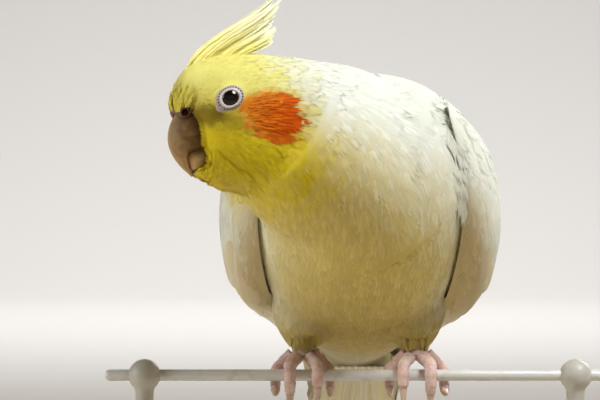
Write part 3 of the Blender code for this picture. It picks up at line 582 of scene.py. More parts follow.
def plumage_finish(name, wash, inner=0.0):
    """
    The finish of small feathers and of the skin beneath them. The wash is how yellow their underside is,
    and inner how strongly painted shade darkens the lower wing next to the body, in its groove by the breast.
    """
    finish = Finish(name, Roughness=0.8, Specular_IOR_Level=0.1)
    root = finish.attribute("root")
    along, across, strand = finish.parts(finish.attribute("quill"))
    tint = finish.attribute("tint", "Fac")
    offset = finish.vector("SUBTRACT", root, tuple(HEAD_CENTRE))
    u = finish.vector("DOT_PRODUCT", offset, tuple(HEAD_FORWARD), output="Value") / MM
    v = finish.vector("DOT_PRODUCT", offset, tuple(UP), output="Value") / MM
    wander = finish.noise(root, 260.0) - 0.5
    cloud = finish.noise(root, 75.0) - 0.5
    x, y, z = finish.parts(finish.vector("SUBTRACT", root, tuple(TORSO_CENTRE)))
    dorsal = (y * DORSAL.y + z * DORSAL.z) / MM
    # Body: white above, washed with straw yellow below.
    underside = (dorsal * -1 + cloud * 12).between(8, 29) * wash
    body = finish.blend(shade(243, 247, 238), shade(236, 222, 150), underside)
    body = finish.blend(body, shade(224, 202, 116), (dorsal * -1).between(14, 36) * wash)
    # The low belly is painted darker with a deep straw tone: painted shade on the underside.
    body = finish.blend(body, shade(158, 132, 60), (z / MM * -1).between(5, 34) * 0.62)
    # Next to the body the lower wing is painted darker: painted shade in the groove between wing and breast.
    painted_groove_shade = (abs(x) / MM).between(36, 29) * (dorsal * -1).between(6, 20) * inner
    body = finish.blend(body, shade(206, 186, 134), painted_groove_shade)
    # Face: lemon yellow, fading out behind the eye and further back at the throat.
    reach = u - v * 0.45 + wander * 6 + (tint - 0.5) * 5
    yellow = reach.between(-23, -6) * (v + wander * 10 + (tint - 0.5) * 5).between(-33, -14)
    yellow = yellow * finish.vector("LENGTH", offset, output="Value").between(0.042, 0.028)
    face = finish.blend(shade(246, 240, 138), shade(240, 218, 42), (v * -1).between(-5, 9))
    coat = finish.blend(body, face, yellow)
    # Lores: darker olive between bill and eye.
    front = finish.node("ShaderNodeCombineXYZ", sockets={0: u, 1: v * 1.3})
    lores = finish.vector("DISTANCE", front, (6.0, -5.0, 0), output="Value")
    coat = finish.blend(coat, shade(124, 100, 18), (lores + wander * 3.5 + (strand - 0.5) * 2).between(5.0, 1.4) * 0.8)
    # Below the eye a fainter olive patch is painted: painted shadow under the eye.
    painted_eye_shadow = finish.node("ShaderNodeCombineXYZ", sockets={0: u * 0.7, 1: v * 1.3})
    painted_eye_shadow = finish.vector("DISTANCE", painted_eye_shadow, (-0.2, -8.0, 0), output="Value") + wander * 3
    coat = finish.blend(coat, shade(150, 128, 24), painted_eye_shadow.between(3.6, 1.2) * 0.55)
    # Cheek: an orange oval of loose strands, deeper behind, with a yellow fringe.
    du, dv = u - CHEEK_CENTRE[0], v - CHEEK_CENTRE[1]
    turned_u = du * math.cos(CHEEK_TILT) + dv * math.sin(CHEEK_TILT)
    turned_v = dv * math.cos(CHEEK_TILT) - du * math.sin(CHEEK_TILT)
    oval = (turned_u / CHEEK_HALF[0]) ** 2 + (turned_v / CHEEK_HALF[1]) ** 2
    oval = oval + wander * 0.6 + (strand - 0.5) * 0.3
    fringe = oval.between(1.5, 0.9)
    cheek = oval.between(1.15, 0.7)
    rear = turned_u.between(6, -6)
    orange = finish.blend(shade(246, 146, 36), shade(232, 98, 10), (rear * 0.8 + strand * 0.4).between(0.1, 0.9))
    orange = finish.blend(orange, shade(184, 56, 4), (strand + wander * 0.5).between(0.52, 0.95) * 0.7)
    coat = finish.blend(coat, shade(240, 196, 84), fringe * 0.7)
    coat = finish.blend(coat, orange, cheek)
    # Every feather is a little deeper at its root and paler at its tip.
    plain = (1 - cheek * 0.9) * (1 - yellow * 0.75)
    coat = finish.blend(coat, shade(250, 248, 238), along.between(0.6, 1.15) * plain * 0.4)
    depth = along.between(0.5, 0.0) * 0.25 + (strand - 0.5) * 0.10 + (tint - 0.5) * 0.10
    coat = finish.blend(coat, shade(196, 172, 104), depth.between(0.0, 1.0) * 0.35)
    # Barbs differ a little in tone, which draws the soft streaks of the coat.
    finish.colour(finish.vector("SCALE", coat, Scale=1.11 - strand * 0.18 - tint * 0.08))
    return finish


plumage = plumage_finish("plumage", 1.0)
wing_plumage = plumage_finish("wing_plumage", 0.45, inner=0.85)


def give_quills(made, roots, quills, tints):
    """Stores on each corner its feather's root, its place in the feather and the feather's tint."""
    mesh = made.data
    for name, kind, key, values in (
        ("root", "FLOAT_VECTOR", "vector", roots),
        ("quill", "FLOAT_VECTOR", "vector", quills),
        ("tint", "FLOAT", "value", tints),
    ):
        layer = mesh.attributes.new(name, kind, "POINT")
        layer.data.foreach_set(key, np.asarray(values, np.float32).ravel())


skin_corners, _ = mesh_arrays(skin.data)
count = len(skin_corners)
give_quills(skin, skin_corners, np.tile((0.2, 0.0, 0.5), (count, 1)), np.full(count, 0.5))
skin.data.materials.append(plumage.material)
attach(skin, "root")
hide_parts("torso", "neck", "head")
for core, slot in ((wing_cores["left"], "wing"), (wing_cores["right"], "wing"), (tail_core, "tail")):
    corners, _ = mesh_arrays(core.data)
    give_quills(core, corners, np.tile((0.2, 0.0, 0.5), (len(corners), 1)), np.full(len(corners), 0.5))
    core.data.materials.append(wing_plumage.material)
    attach(core, "root")
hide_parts("wing_left")
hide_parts("wing_right")

# Small feathers
# Each is a fan of flat barbs from one root, as in life, and lies over the feathers behind it. They are
# rooted all over the skin by a seeded draw, close on the face and wider apart on the body.
STATIONS = 4
ROOT_SPACING_SHARE = 0.275
RAISE_SHARE = 0.004
SOFTNESS = 0.85


def lie(points):
    """The way feathers point: away from the bill on the head, down the neck, and back along the torso."""
    points = np.asarray(points)
    away = points - np.array(BILL_BASE)
    away /= np.linalg.norm(away, axis=1, keepdims=True) + 1e-9
    back = -np.array(FORWARD)
    body_share = np.interp(distances(points, [HEAD_CENTRE]), (15, 36), (0, 1))[:, None]
    course = away * (1 - body_share) + back * body_share
    thigh_share = np.interp(distances(points, FOOT_PLACES), (9, 22), (1, 0))[:, None]
    course = course * (1 - thigh_share) + np.array((0, 0.05, -1)) * thigh_share
    return course / np.linalg.norm(course, axis=1, keepdims=True)


def lie_on_wing(points):
    """The way small coverts point: back and down over the front edge of the wing."""
    out = np.sign(np.asarray(points)[:, :1]) * np.array((1.0, 0, 0))
    course = np.array((0, 0, -0.62)) - np.array(FORWARD) * 0.7 + out * 0.15
    return course / np.linalg.norm(course, axis=1, keepdims=True)


def flat_to(vectors, normals):
    """The vectors with what stands off the surface taken out."""
    level = vectors - normals * (vectors * normals).sum(axis=1, keepdims=True)
    return level / (np.linalg.norm(level, axis=1, keepdims=True) + 1e-12)


def scatter(made, spacing_of, seed, tries=7):
    """Roots spread over an object by a seeded draw, none closer to another than the spacing there."""
    draw = np.random.default_rng(seed)
    made.data.calc_loop_triangles()
    triangles = np.zeros(len(made.data.loop_triangles) * 3, np.int32)
    made.data.loop_triangles.foreach_get("vertices", triangles)
    corners = mesh_arrays(made.data)[0][triangles.reshape(-1, 3)]
    normals = np.cross(corners[:, 1] - corners[:, 0], corners[:, 2] - corners[:, 0])
    areas = np.linalg.norm(normals, axis=1) / 2 / MM**2
    spacing = spacing_of(corners.mean(axis=1))
    weights = np.where(spacing > 0, areas / np.maximum(spacing, 0.05) ** 2, 0)
    picks = draw.choice(len(weights), int(weights.sum() * tries), p=weights / weights.sum())
    shares = draw.random((len(picks), 2))
    shares = np.where(shares.sum(axis=1, keepdims=True) > 1, 1 - shares, shares)
    a, b, c = corners[picks, 0], corners[picks, 1], corners[picks, 2]
    points = a + (b - a) * shares[:, :1] + (c - a) * shares[:, 1:]
    gaps = spacing[picks]
    levels = np.floor(np.log2(gaps)).astype(int)
    kept, grids = [], {}
    for k, (point, gap, level) in enumerate(zip(points / MM, gaps, levels)):
        size = 2.0 ** (level + 1)
        cell = np.floor(point / size).astype(int).tolist()
        x, y, z = cell
        clear = True
        for i in (x - 1, x, x + 1):
            for j in (y - 1, y, y + 1):
                for m in (z - 1, z, z + 1):
                    for other in grids.get((level, i, j, m), ()):
                        if (other[0] - point[0]) ** 2 + (other[1] - point[1]) ** 2 + (other[2] - point[2]) ** 2 < gap * gap:
                            clear = False
        if clear:
            kept.append(k)
            spot = point.tolist()
            for near in (level - 1, level, level + 1):
                size = 2.0 ** (near + 1)
                key = (near, int(spot[0] // size), int(spot[1] // size), int(spot[2] // size))
                grids.setdefault(key, []).append(spot)
    facing = normals[picks[kept]]
    return points[kept], facing / np.linalg.norm(facing, axis=1, keepdims=True)


def lay(surface, roots, lengths, widths, course=lie):
    """The sheet under each feather: three columns of points, and which way they face, root to tip."""
    points = np.zeros((len(roots), STATIONS, 3, 3))
    facing = np.zeros_like(points)
    here, up = surface.nearest(roots)
    for s in range(STATIONS):
        along = flat_to(course(here), up)
        side = np.cross(up, along)
        points[:, s, 1], facing[:, s, 1] = here, up
        for column, sign in ((0, -1), (2, 1)):
            edge, edge_up = surface.nearest(here + side * (sign * widths * MM)[:, None])
            points[:, s, column], facing[:, s, column] = edge, edge_up
        here, up = surface.nearest(here + along * (lengths * MM / (STATIONS - 1))[:, None])
    return points, facing


def bridge(starts, ends, widths, bulge):
    """The sheets of feathers that reach straight from one surface to another, with a slight rise between."""
    (start, start_up), (end, end_up) = starts, ends
    share = np.linspace(0, 1, STATIONS)[None, :, None]
    up = start_up[:, None] * (1 - share) + end_up[:, None] * share
    up /= np.linalg.norm(up, axis=2, keepdims=True)
    middle = start[:, None] * (1 - share) + end[:, None] * share + up * np.sin(math.pi * share) * bulge * MM
    along = end - start
    side = np.cross(up, np.repeat(along[:, None], STATIONS, axis=1))
    side /= np.linalg.norm(side, axis=2, keepdims=True) + 1e-12
    reach = side * (widths * MM)[:, None, None]
    return np.stack((middle - reach, middle, middle + reach), axis=2), np.stack((up, up, up), axis=2)


def unfolded(sheets):
    """Which sheets bend no further than a feather would."""
    _, facing = sheets
    return ((facing * facing[:, :1, 1:2]).sum(axis=3) > 0.4).all(axis=(1, 2))


def lay_shorter(surface, roots, lengths, widths, course=lie):
    """The sheets again, but where one bends too far, in a crease or round an edge, it is made shorter."""
    lengths, widths = np.array(lengths), np.array(widths)
    points, facing = lay(surface, roots, lengths, widths, course)
    for _ in range(4):
        bent = ~unfolded((points, facing))
        if not bent.any():
            break
        lengths[bent] *= 0.65
        widths[bent] *= 0.75
        points[bent], facing[bent] = lay(surface, roots[bent], lengths[bent], widths[bent], course)
    bent = ~unfolded((points, facing))
    here, up = points[bent, 0, 1], facing[bent, 0, 1]
    along = flat_to(course(here), up)
    reach = np.linspace(0, 2.2 * MM, STATIONS)[:, None, None] * along[:, None, None]
    side = np.array((-0.7 * MM, 0, 0.7 * MM))[:, None] * np.cross(up, along)[:, None, None]
    points[bent] = here[:, None, None] + reach + side
    facing[bent] = up[:, None, None]
    return points, facing


def fan(barbs, ragged, draw):
    """One feather of flat barbs. Rows: share along, share across, raise, the barb's own random number."""
    rows = []
    half = 1.5 / barbs
    for k in range(barbs):
        lean = 2 * k / (barbs - 1) - 1
        tip = np.array((0.56 + 0.44 * math.sqrt(1 - 0.96 * lean * lean), lean))
        tip *= 1 - ragged * draw.random(2)
        root = np.array((max(0.0, tip[0] - 0.66), 0.12 * lean))
        waist = root * 0.42 + tip * 0.58 + np.array((-0.03, 0.10 * lean))
        level = 0.25 * (k % 2) + 0.3 * draw.random()
        strand = draw.random()
        for (x, y), width in ((root, half * 0.7), (waist, half)):
            rows += [(x, y - width, level, strand), (x, y + width, level, strand), (x, y, level + 1, strand)]
        rows.append((tip[0], tip[1], level * 0.5, strand))
    return np.array(rows)


BARB_FACES = np.array(
    (
        (0, 2, 1),
        (0, 1, 4),
        (0, 4, 3),
        (0, 3, 5),
        (0, 5, 2),
        (1, 2, 5),
        (1, 5, 4),
        (3, 4, 6),
        (3, 6, 5),
        (4, 5, 6),
    )
)
BARB_CORNERS = 7
PATCH = 0.003


def unwrapped(points):
    """A place for each root on an unwrap of the bird's skin: along its middle line, and round it."""
    middle = np.array(
        [torso_axis(place) for place in np.linspace(-75, 30, 36)]
        + [torso_axis(30).lerp(head_point(-8, -6), share) for share in np.linspace(0.05, 1, 12)]
        + [head_point(u, -5) for u in np.linspace(-6, 13, 10)]
    )
    gaps = np.linalg.norm(points[:, None] - middle[None], axis=2)
    place = gaps.argmin(axis=1)
    ahead = np.gradient(middle, axis=0)[place]
    ahead /= np.linalg.norm(ahead, axis=1, keepdims=True)
    offset = points - middle[place]
    side = np.cross(ahead, np.array(UP))
    side /= np.linalg.norm(side, axis=1, keepdims=True)
    over = np.cross(side, ahead)
    turn = np.arctan2((offset * side).sum(axis=1), (offset * over).sum(axis=1)) / (2 * math.pi) + 0.5
    steps = np.concatenate(([0], np.linalg.norm(np.diff(middle, axis=0), axis=1).cumsum()))
    share = (steps[place] + (offset * ahead).sum(axis=1)) / steps[-1]
    return np.stack((turn * 0.98 + 0.01, np.clip(share, 0, 1) * 0.96 + 0.02), axis=1)


def finished_feathers(made, roots, facing, quills, tints, finish, softness=SOFTNESS, shading=None):
    """Stores the feathers' places, turns their shading towards the surface they lie on, and rides them."""
    facing = facing if shading is None else np.array(shading)
    give_quills(made, roots, quills, tints)
    triangles = np.zeros(len(made.data.loops), np.int32)
    made.data.loops.foreach_get("vertex_index", triangles)
    spots = unwrapped(roots) + np.stack((np.clip(quills[:, 1], -1, 1), quills[:, 0] - 0.5), axis=1) * PATCH / 2
    layer = made.data.uv_layers.new(name="OFBake")
    layer.data.foreach_set("uv", spots[triangles].astype(np.float32).ravel())
    corners = mesh_arrays(made.data)[0][triangles.reshape(-1, 3)]
    flat = np.cross(corners[:, 1] - corners[:, 0], corners[:, 2] - corners[:, 0])
    flat /= np.linalg.norm(flat, axis=1, keepdims=True) + 1e-20
    over = facing[triangles] if facing.ndim == 2 else np.tile(facing, (len(triangles), 1))
    flat = np.repeat(flat, 3, axis=0)
    over = over * np.where((flat * over).sum(axis=1, keepdims=True) < 0, -1, 1)
    soft = over * softness + flat * (1 - softness)
    made.data.normals_split_custom_set(soft / np.linalg.norm(soft, axis=1, keepdims=True))
    made.data.materials.append(finish.material)
    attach(made, "root")
    return made


def fans(name, sheets, lengths, lifts, barbs=13, ragged=0.16, seed=1, kinds=None, finish=plumage, softness=SOFTNESS, shading=None):
    """All the feathers of one region as one mesh of barbs, laid on their sheets and raised to their tips."""
    points, facing = sheets
    count, stations = points.shape[:2]
    draw = np.random.default_rng(seed)
    kinds = kinds or [fan(barbs, ragged, draw) for _ in range(6)]
    rows = np.stack(kinds)[draw.integers(0, len(kinds), count)]
    x = rows[:, :, 0] * draw.uniform(0.92, 1.04, (count, 1))
    y = rows[:, :, 1]
    place = np.clip(x, 0, 1) * (stations - 1)
    first = np.minimum(place.astype(int), stations - 2)
    share = (place - first)[:, :, None, None]
    index = np.arange(count)[:, None]
    columns = points[index, first] * (1 - share) + points[index, first + 1] * share
    ways = facing[index, first] * (1 - share) + facing[index, first + 1] * share
    half = (columns[:, :, 2] - columns[:, :, 0]) / 2
    bow = (columns[:, :, 2] + columns[:, :, 0]) / 2 - columns[:, :, 1]
    corners = columns[:, :, 1] + half * y[:, :, None] + bow * (y**2)[:, :, None]
    up = ways[:, :, 1] + (ways[:, :, 2] - ways[:, :, 0]) / 2 * y[:, :, None]
    up /= np.linalg.norm(up, axis=2, keepdims=True)
    loose = draw.random(count) < 0.03
    stand = np.where(loose, draw.uniform(1.2, 1.5, count), draw.uniform(0.85, 1.1, count))
    height = (-0.25 + 1.25 * x) * (lifts * stand)[:, None] + rows[:, :, 2] * RAISE_SHARE * lengths[:, None]
    corners += up * (height * MM)[:, :, None]
    per_feather = rows.shape[1]
    barb = np.arange(per_feather // BARB_CORNERS)[:, None, None]
    faces = (BARB_FACES[None] + BARB_CORNERS * barb).reshape(-1, 3)
    faces = (faces[None] + per_feather * np.arange(count)[:, None, None]).reshape(-1, 3)
    made = triangle_mesh(name, corners, faces)
    roots = np.repeat(points[:, 0, 1], per_feather, axis=0)
    quills = np.stack((x, y, rows[:, :, 3]), axis=2).reshape(-1, 3)
    tints = np.repeat(draw.random(count), per_feather)
    return finished_feathers(made, roots, up.reshape(-1, 3), quills, tints, finish, softness, shading)


# Body coat
# The small feathers of head, neck, torso, thighs and the front of the wings, laid on the shell so that
# they run from one to the other. None is rooted against the bill or the eyes.
hard_surface = Surface(*[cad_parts[node] for node in ("bill_upper", "bill_lower", "cere", "eye_left", "eye_right")])


def cheek_share(points):
    """1 inside the cheek patch on either side of the head, 0 outside it."""
    u, v, left = head_places(points).T
    du, dv = u - CHEEK_CENTRE[0], v - CHEEK_CENTRE[1]
    turned_u = du * math.cos(CHEEK_TILT) + dv * math.sin(CHEEK_TILT)
    turned_v = dv * math.cos(CHEEK_TILT) - du * math.sin(CHEEK_TILT)
    oval = (turned_u / CHEEK_HALF[0]) ** 2 + (turned_v / CHEEK_HALF[1]) ** 2
    return np.clip(3 - 2.4 * oval, 0, 1) * (abs(left) > 6)


def torso_places(points):
    """Millimetres along the torso, above its axis and to its left."""
    return (np.asarray(points) - np.array(TORSO_CENTRE)) @ np.array((FORWARD, DORSAL, LEFT)).T / MM


def coat_spacing(points):
    """How far apart the roots stand, in millimetres; 0 where no feather grows."""
    spacing = feather_lengths(points) * ROOT_SPACING_SHARE * (1 - 0.2 * cheek_share(points))
    return np.where(distances(points, EYE_PLACES) < 3.2, 0, spacing)


roots, facing = scatter(shell, coat_spacing, seed=11)
bpy.data.objects.remove(shell)
blocked = [hard_surface.meets(root + way * 0.05 * MM, way, 3) for root, way in zip(roots, facing)]
to_skin = np.linalg.norm(skin_surface.nearest(roots)[0] - roots, axis=1) / MM
to_wing = np.min([np.linalg.norm(wing.nearest(roots)[0] - roots, axis=1) / MM for wing in wing_surfaces.values()], axis=0)
along_torso, above, _ = torso_places(roots).T
on_wing = to_wing < to_skin - 0.05
vaned = on_wing & (along_torso < np.interp(above, (-20, 0, 14), (-16, -13, -16)))
keep = ~np.array(blocked) & ~vaned
roots, on_wing, along_torso, above = roots[keep], on_wing[keep], along_torso[keep], above[keep]
to_other = np.maximum(to_skin, to_wing)[keep]
lengths = feather_lengths(roots)
lengths = np.where(on_wing, np.minimum(lengths, np.interp(along_torso, (-12, 34), (9.5, 6.5))), lengths)
cheek = cheek_share(roots)
lengths *= 1 + 0.2 * cheek
widths = lengths * np.interp(distances(roots, [HEAD_CENTRE]), (12, 30), (0.23, 0.36)) * (1 - 0.15 * cheek)
lifts = lengths * COAT_DEPTH_SHARE * np.interp(distances(roots, [HEAD_CENTRE]), (16, 34), (0.6, 0.16))
u, v, left = head_places(roots).T
head_gap = distances(roots, [HEAD_CENTRE])
on_head = (head_gap < 24) & (u > -17)
# Rows: name, where it lies, slot, barbs in a feather.
REGIONS = (
    ("coat_cheeks", cheek > 0.3, "head", 9),
    ("coat_face", on_head & (u > -2), "head", 7),
    ("coat_crown", on_head & (v > 2), "head", 9),
    ("coat_throat", on_head, "head", 9),
    ("coat_neck", (head_gap < 42) & ~on_wing, "neck", 11),
    ("coat_wings", on_wing, "wing", 13),
    ("coat_shoulders", (above > 4) & (along_torso > -8), "torso", 13),
    ("coat_rump", above > 0, "torso", 13),
    ("coat_breast", along_torso > 5, "torso", 13),
    ("coat_belly", along_torso > -1000, "torso", 13),
)
# The line between wing and breast stays open below the shoulder: there each feather keeps to its own side.
merged = (roots[:, 2] - WIRE.z > 0.047) | (above > 4)
# Beside the shoulder the coat stands out further, which closes the line there.
shoulder = np.interp(to_other, (1.0, 6.0), (0.5, 0)) * np.interp(roots[:, 2] - WIRE.z, (0.045, 0.055), (0, 1))
shoulder *= merged * np.where(on_wing, 0.3, 1.0)
taken = np.zeros(len(roots), bool)
for order, (name, where, slot, barbs) in enumerate(REGIONS):
    chosen = where & ~taken
    taken |= chosen
    sheets = [np.zeros((int(chosen.sum()), STATIONS, 3, 3)) for _ in range(2)]
    for surface, own in (
        (shell_surface, merged),
        (skin_surface, ~merged & ~on_wing),
        (wing_surfaces["left"], ~merged & on_wing & (roots[:, 0] > 0)),
        (wing_surfaces["right"], ~merged & on_wing & (roots[:, 0] < 0)),
    ):
        part = (chosen & own)
        if part.any():
            course = lie if surface in (shell_surface, skin_surface) else lie_on_wing
            laid = lay_shorter(surface, roots[part], lengths[part], widths[part], course)
            for whole, some in zip(sheets, laid):
                whole[own[chosen]] = some
    sheets[0] += sheets[1] * (shoulder[chosen] * MM)[:, None, None, None]
    finish = wing_plumage if slot == "wing" else plumage
    fans(name, sheets, lengths[chosen], lifts[chosen], barbs, ragged=0.24, seed=20 + order, finish=finish)

# Bill fringe
# Tiny bristly feathers at the edge of the face lean forward over the root of the bill, and longer ones
# grow up and back from the cere over the forehead and leave only its nostrils bare.
bill_surface = Surface(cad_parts["bill_upper"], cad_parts["bill_lower"])


def fringe_spacing(points):
    gap = np.linalg.norm(bill_surface.nearest(points)[0] - points, axis=1) / MM
    u, v, left = head_places(points).T
    return np.where((gap < 1.9) & (u > -2) & (v < -2.5), 0.30, 0)


roots, facing = scatter(skin, fringe_spacing, seed=14)
open_sky = [not bill_surface.meets(root + way * 0.05 * MM, way, 4) for root, way in zip(roots, facing)]
roots, facing = roots[open_sky], facing[open_sky]
draw = np.random.default_rng(15)
u, v, left = head_places(roots).T
drop = np.interp(v, (-13, -6), (0.55, 0.1)) + draw.uniform(-0.2, 0.2, len(roots))
course = np.array(HEAD_FORWARD) - np.multiply.outer(drop, np.array(UP))
lengths = np.clip(4.3 - u + draw.uniform(-0.6, 0.5, len(roots)), 0.5, 2.4)
ends, ends_up = bill_surface.nearest(roots + facing * 0.6 * MM + course * lengths[:, None] * MM)
ends += ends_up * 0.22 * MM
sheets = bridge((roots, facing), (ends, ends_up), 0.16 + lengths * 0.08, 0.25)
fans("bill_fringe", sheets, lengths, lengths * 0.05, 5, ragged=0.3, seed=16, softness=0.5)

# Under the bill a short beard of chin feathers starts at the root of the lower bill and hangs forward.


def chin_spacing(points):
    u, v, left = head_places(points).T
    return np.where((u > -4) & (v < -12) & (abs(left) < 8), 0.48, 0)


roots, facing = scatter(skin, chin_spacing, seed=31)
draw = np.random.default_rng(32)
u, v, left = head_places(roots).T
front = np.interp(u, (-4, 5), (0, 1))
foremost = np.interp(u, (1.4, 3.4), (0, 0.95)) * np.interp(abs(left), (3, 5), (1, 0))
lengths = 3.4 + draw.uniform(-0.5, 0.5, len(roots))
course = np.array(lie(roots)) * (1 - 0.55 * front[:, None]) - np.multiply.outer(0.8 * front, np.array(UP))
ends, ends_up = skin_surface.nearest(roots + flat_to(course, facing) * lengths[:, None] * MM)
stand = np.interp(u, (-4, 1, 5), (0.05, 1.3, 1.5)) * np.interp(abs(left), (2, 8), (1, 0.05)) * draw.uniform(0.8, 1.05, len(roots))
ends += ends_up * stand[:, None] * MM
under_bill = np.array([head_point(7.7 - 0.2 * abs(out), draw.uniform(-18.4, -16.6), out * 0.6) for out in left])
ends += (under_bill - ends) * foremost[:, None]
chin = (lengths, stand)
sheets = bridge((roots, facing), (ends, ends_up), lengths * 0.2, 0.3)
fans("chin_beard", sheets, lengths, lengths * 0.05, 9, seed=33, softness=0.8)

cere_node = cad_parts["cere"]
NOSTRIL = (9.9, -3.3)


def cere_spacing(points):
    u, v, left = head_places(points).T
    gap = np.hypot(u - NOSTRIL[0], (v - NOSTRIL[1]) * 1.15)
    bare = (gap < 1.6) & (abs(left) > 2.0)
    return np.where(bare | (v < -3.0), 0, 0.40)


roots, facing = scatter(cere_node, cere_spacing, seed=17)
u, v, left = head_places(roots).T
lengths = draw.uniform(3.2, 5.2, len(roots))
lean = draw.uniform(-0.25, 0.25, (2, len(roots)))
course = np.multiply.outer(0.9 + 0 * lean[0], np.array(UP)) - np.multiply.outer(0.35 + lean[0], np.array(HEAD_FORWARD))
course += np.multiply.outer(lean[1] + left * 0.06, np.array(HEAD_LEFT))
ends, ends_up = skin_surface.nearest(roots + facing * 0.8 * MM + course * lengths[:, None] * MM)
ends += ends_up * draw.uniform(0.15, 0.5, (len(roots), 1)) * MM
sheets = bridge((roots, facing), (ends, ends_up), lengths * 0.14, 0.55)
fans("cere_feathers", sheets, lengths, lengths * 0.04, 5, ragged=0.3, seed=18, softness=0.5)

# Crest
# A fan of long narrow feathers that stands half raised from the crown: stiff at the front edge, looser
# and wispier behind. Each has barbs down both sides of its shaft.
CREST_FRONT = ((9.6, 6.5), (6.4, 11.2), (1.2, 15.4), (-4.0, 18.6), (-9.0, 21.8), (-13.2, 25.4), (-16.8, 29.8))
CREST_REAR = ((-3.4, 9.4), (-5.6, 11.0), (-7.6, 12.0), (-9.4, 12.7), (-10.8, 13.2), (-11.8, 13.7), (-12.6, 14.3))
CREST_COUNT = 72


# The crest glows weakly in its own colour: painted light for the light that its thin feathers let through.
crest_finish = Finish(
    "crest_plumage", Roughness=0.75, Specular_IOR_Level=0.1, Emission_Strength=0.12
)
along, across, strand = crest_finish.parts(crest_finish.attribute("quill"))
tint = crest_finish.attribute("tint", "Fac")
fade = (along + (strand - 0.5) * 0.25 + (tint - 0.5) * 0.3).between(0.1, 1.05)
pale = crest_finish.blend(shade(238, 230, 142), shade(240, 240, 214), fade)
tone = crest_finish.blend(pale, shade(214, 196, 92), (strand - along * 0.5).between(0.4, 0.9) * 0.45)
crest_finish.colour(tone)
# Its colour also feeds the painted glow.
crest_finish.join(tone, crest_finish.shader.inputs["Emission Color"])


def long_fan(pairs, draw):
    """A long feather: barbs down both sides of its shaft, with the shaft in short lengths between them."""
    rows = []
    for k in range(pairs):
        start = 0.02 + 0.86 * k / pairs
        spread = math.sin(math.pi * min(1.0, (start + 0.22)) ** 0.8) ** 0.5 + 0.12
        for sign in (-1, 0, 1):
            reach = 0.24 * draw.uniform(0.8, 1.1) + (0.06 if sign == 0 else 0)
            tip = (start + reach, sign * spread * draw.uniform(0.8, 1.05))
            waist = (start + reach * 0.5, sign * spread * 0.55)
            half = 0.2 if sign else 0.26
            level = 0.3 * draw.random()
            strand = draw.random()
            for (x, y), width in (((start, 0.0), half * 0.6), (waist, half)):
                rows += [(x, y - width, level, strand), (x, y + width, level, strand), (x, y, level + 1, strand)]
            rows.append((*tip, level * 0.5, strand))
    return np.array(rows)


def through(rows, share):
    """Points at shares of the way along a smooth curve through rows spread evenly by number."""
    return between([(k / (len(rows) - 1), *row) for k, row in enumerate(rows)], share)


draw = np.random.default_rng(5)
crest_points, crest_facing, crest_lengths = [], [], []
for k in range(CREST_COUNT):
    share = (k + draw.random()) / CREST_COUNT
    across = draw.uniform(-2.6, 2.6) * (0.35 + share) ** 0.5
    length = draw.uniform(0.72, 1.0) * (1.0 if share < 0.7 else 1.1)
    t = np.linspace(0, 1, 8)
    path = through(CREST_FRONT, t * length) * (1 - share) + through(CREST_REAR, t * length) * share
    drift = draw.uniform(-1.2, 1.2) * t**2
    centres = np.array([head_point(u, v + d * 0.5, across * (1 - 0.25 * s) + d) for (u, v), s, d in zip(path, t, drift)])
    along = np.gradient(centres, axis=0)
    along /= np.linalg.norm(along, axis=1, keepdims=True)
    lean = np.array(HEAD_LEFT) * (0.8 if across < 0 else -0.8) + np.array(UP) * 0.6
    sides = flat_to(np.tile(lean, (8, 1)), along)
    half = draw.uniform(0.75, 1.3) * MM
    crest_points.append(np.stack((centres - sides * half, centres, centres + sides * half), axis=1))
    crest_facing.append(np.repeat(np.cross(along, sides)[:, None], 3, axis=1))
    crest_lengths.append(np.linalg.norm(np.diff(centres, axis=0), axis=1).sum() / MM)
crest_sheets = (np.array(crest_points), np.array(crest_facing))
crest = fans(
    "crest_feathers",
    crest_sheets,
    np.array(crest_lengths),
    np.zeros(CREST_COUNT),
    kinds=[long_fan(12, draw) for _ in range(6)],
    seed=6,
    finish=crest_finish,
    softness=0.75,
    shading=(0.25, -0.5, 0.83),
)
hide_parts("crest")

# Eyes
# Dark glassy balls, nearly black, with a deep brown iris under a clear wet cornea. Round each lies a
# bare ring of skin: a pale smooth lid edge inside, then a grey ring of small pimples.
EYE_RADIUS = 3.3
EYE_DEPTH = 9.7
EYE_TURN = math.radians(12)
# Rows: distance from the eye's axis and height along it, in millimetres, round the lid's section.
LID_SECTION = (
    (2.7, 0.3),
    (2.1, 1.8),
    (1.86, 2.5),
    (1.88, 2.72),
    (2.00, 2.86),
    (2.20, 2.90),
    (2.40, 2.82),
    (2.54, 2.68),
    (2.66, 2.60),
    (2.80, 2.56),
    (2.94, 2.46),
    (3.08, 2.28),
    (3.22, 2.00),
    (3.32, 1.4),
    (3.32, 0.8),
    (3.0, 0.2),
)
PIMPLES = 26


def eye_axis(side):
    return (HEAD_LEFT * side * math.cos(EYE_TURN) + HEAD_FORWARD * math.sin(EYE_TURN)).normalized()


def about(axis, centre, radii, heights, turns):
    """Points round an axis; radii and heights are in millimetres. The turn starts upwards."""
    over = (UP - axis * UP.dot(axis)).normalized()
    across = over.cross(axis)
    out = np.multiply.outer(np.cos(turns), np.array(over)) + np.multiply.outer(np.sin(turns), np.array(across))
    return np.array(centre) + (radii[..., None] * out + heights[..., None] * np.array(axis)) * MM


def store(made, name, values):
    layer = made.data.attributes.new(name, "FLOAT", "POINT")
    layer.data.foreach_set("value", np.asarray(values, np.float32).ravel())


eye_finish = Finish("eye", Roughness=0.05, Specular_IOR_Level=0.35, Coat_Weight=0.5, Coat_Roughness=0.02)
ring = eye_finish.attribute("ring", "Fac")
fibres = eye_finish.noise(eye_finish.place(), 1.8, 3.0)
iris = eye_finish.blend((0.020, 0.006, 0.004), (0.050, 0.014, 0.008), fibres)
iris = eye_finish.blend(iris, (0.004, 0.002, 0.002), ring.between(1.75, 1.55))
eye_finish.colour(eye_finish.blend(iris, (0.010, 0.004, 0.004), ring.between(1.9, 2.1)))

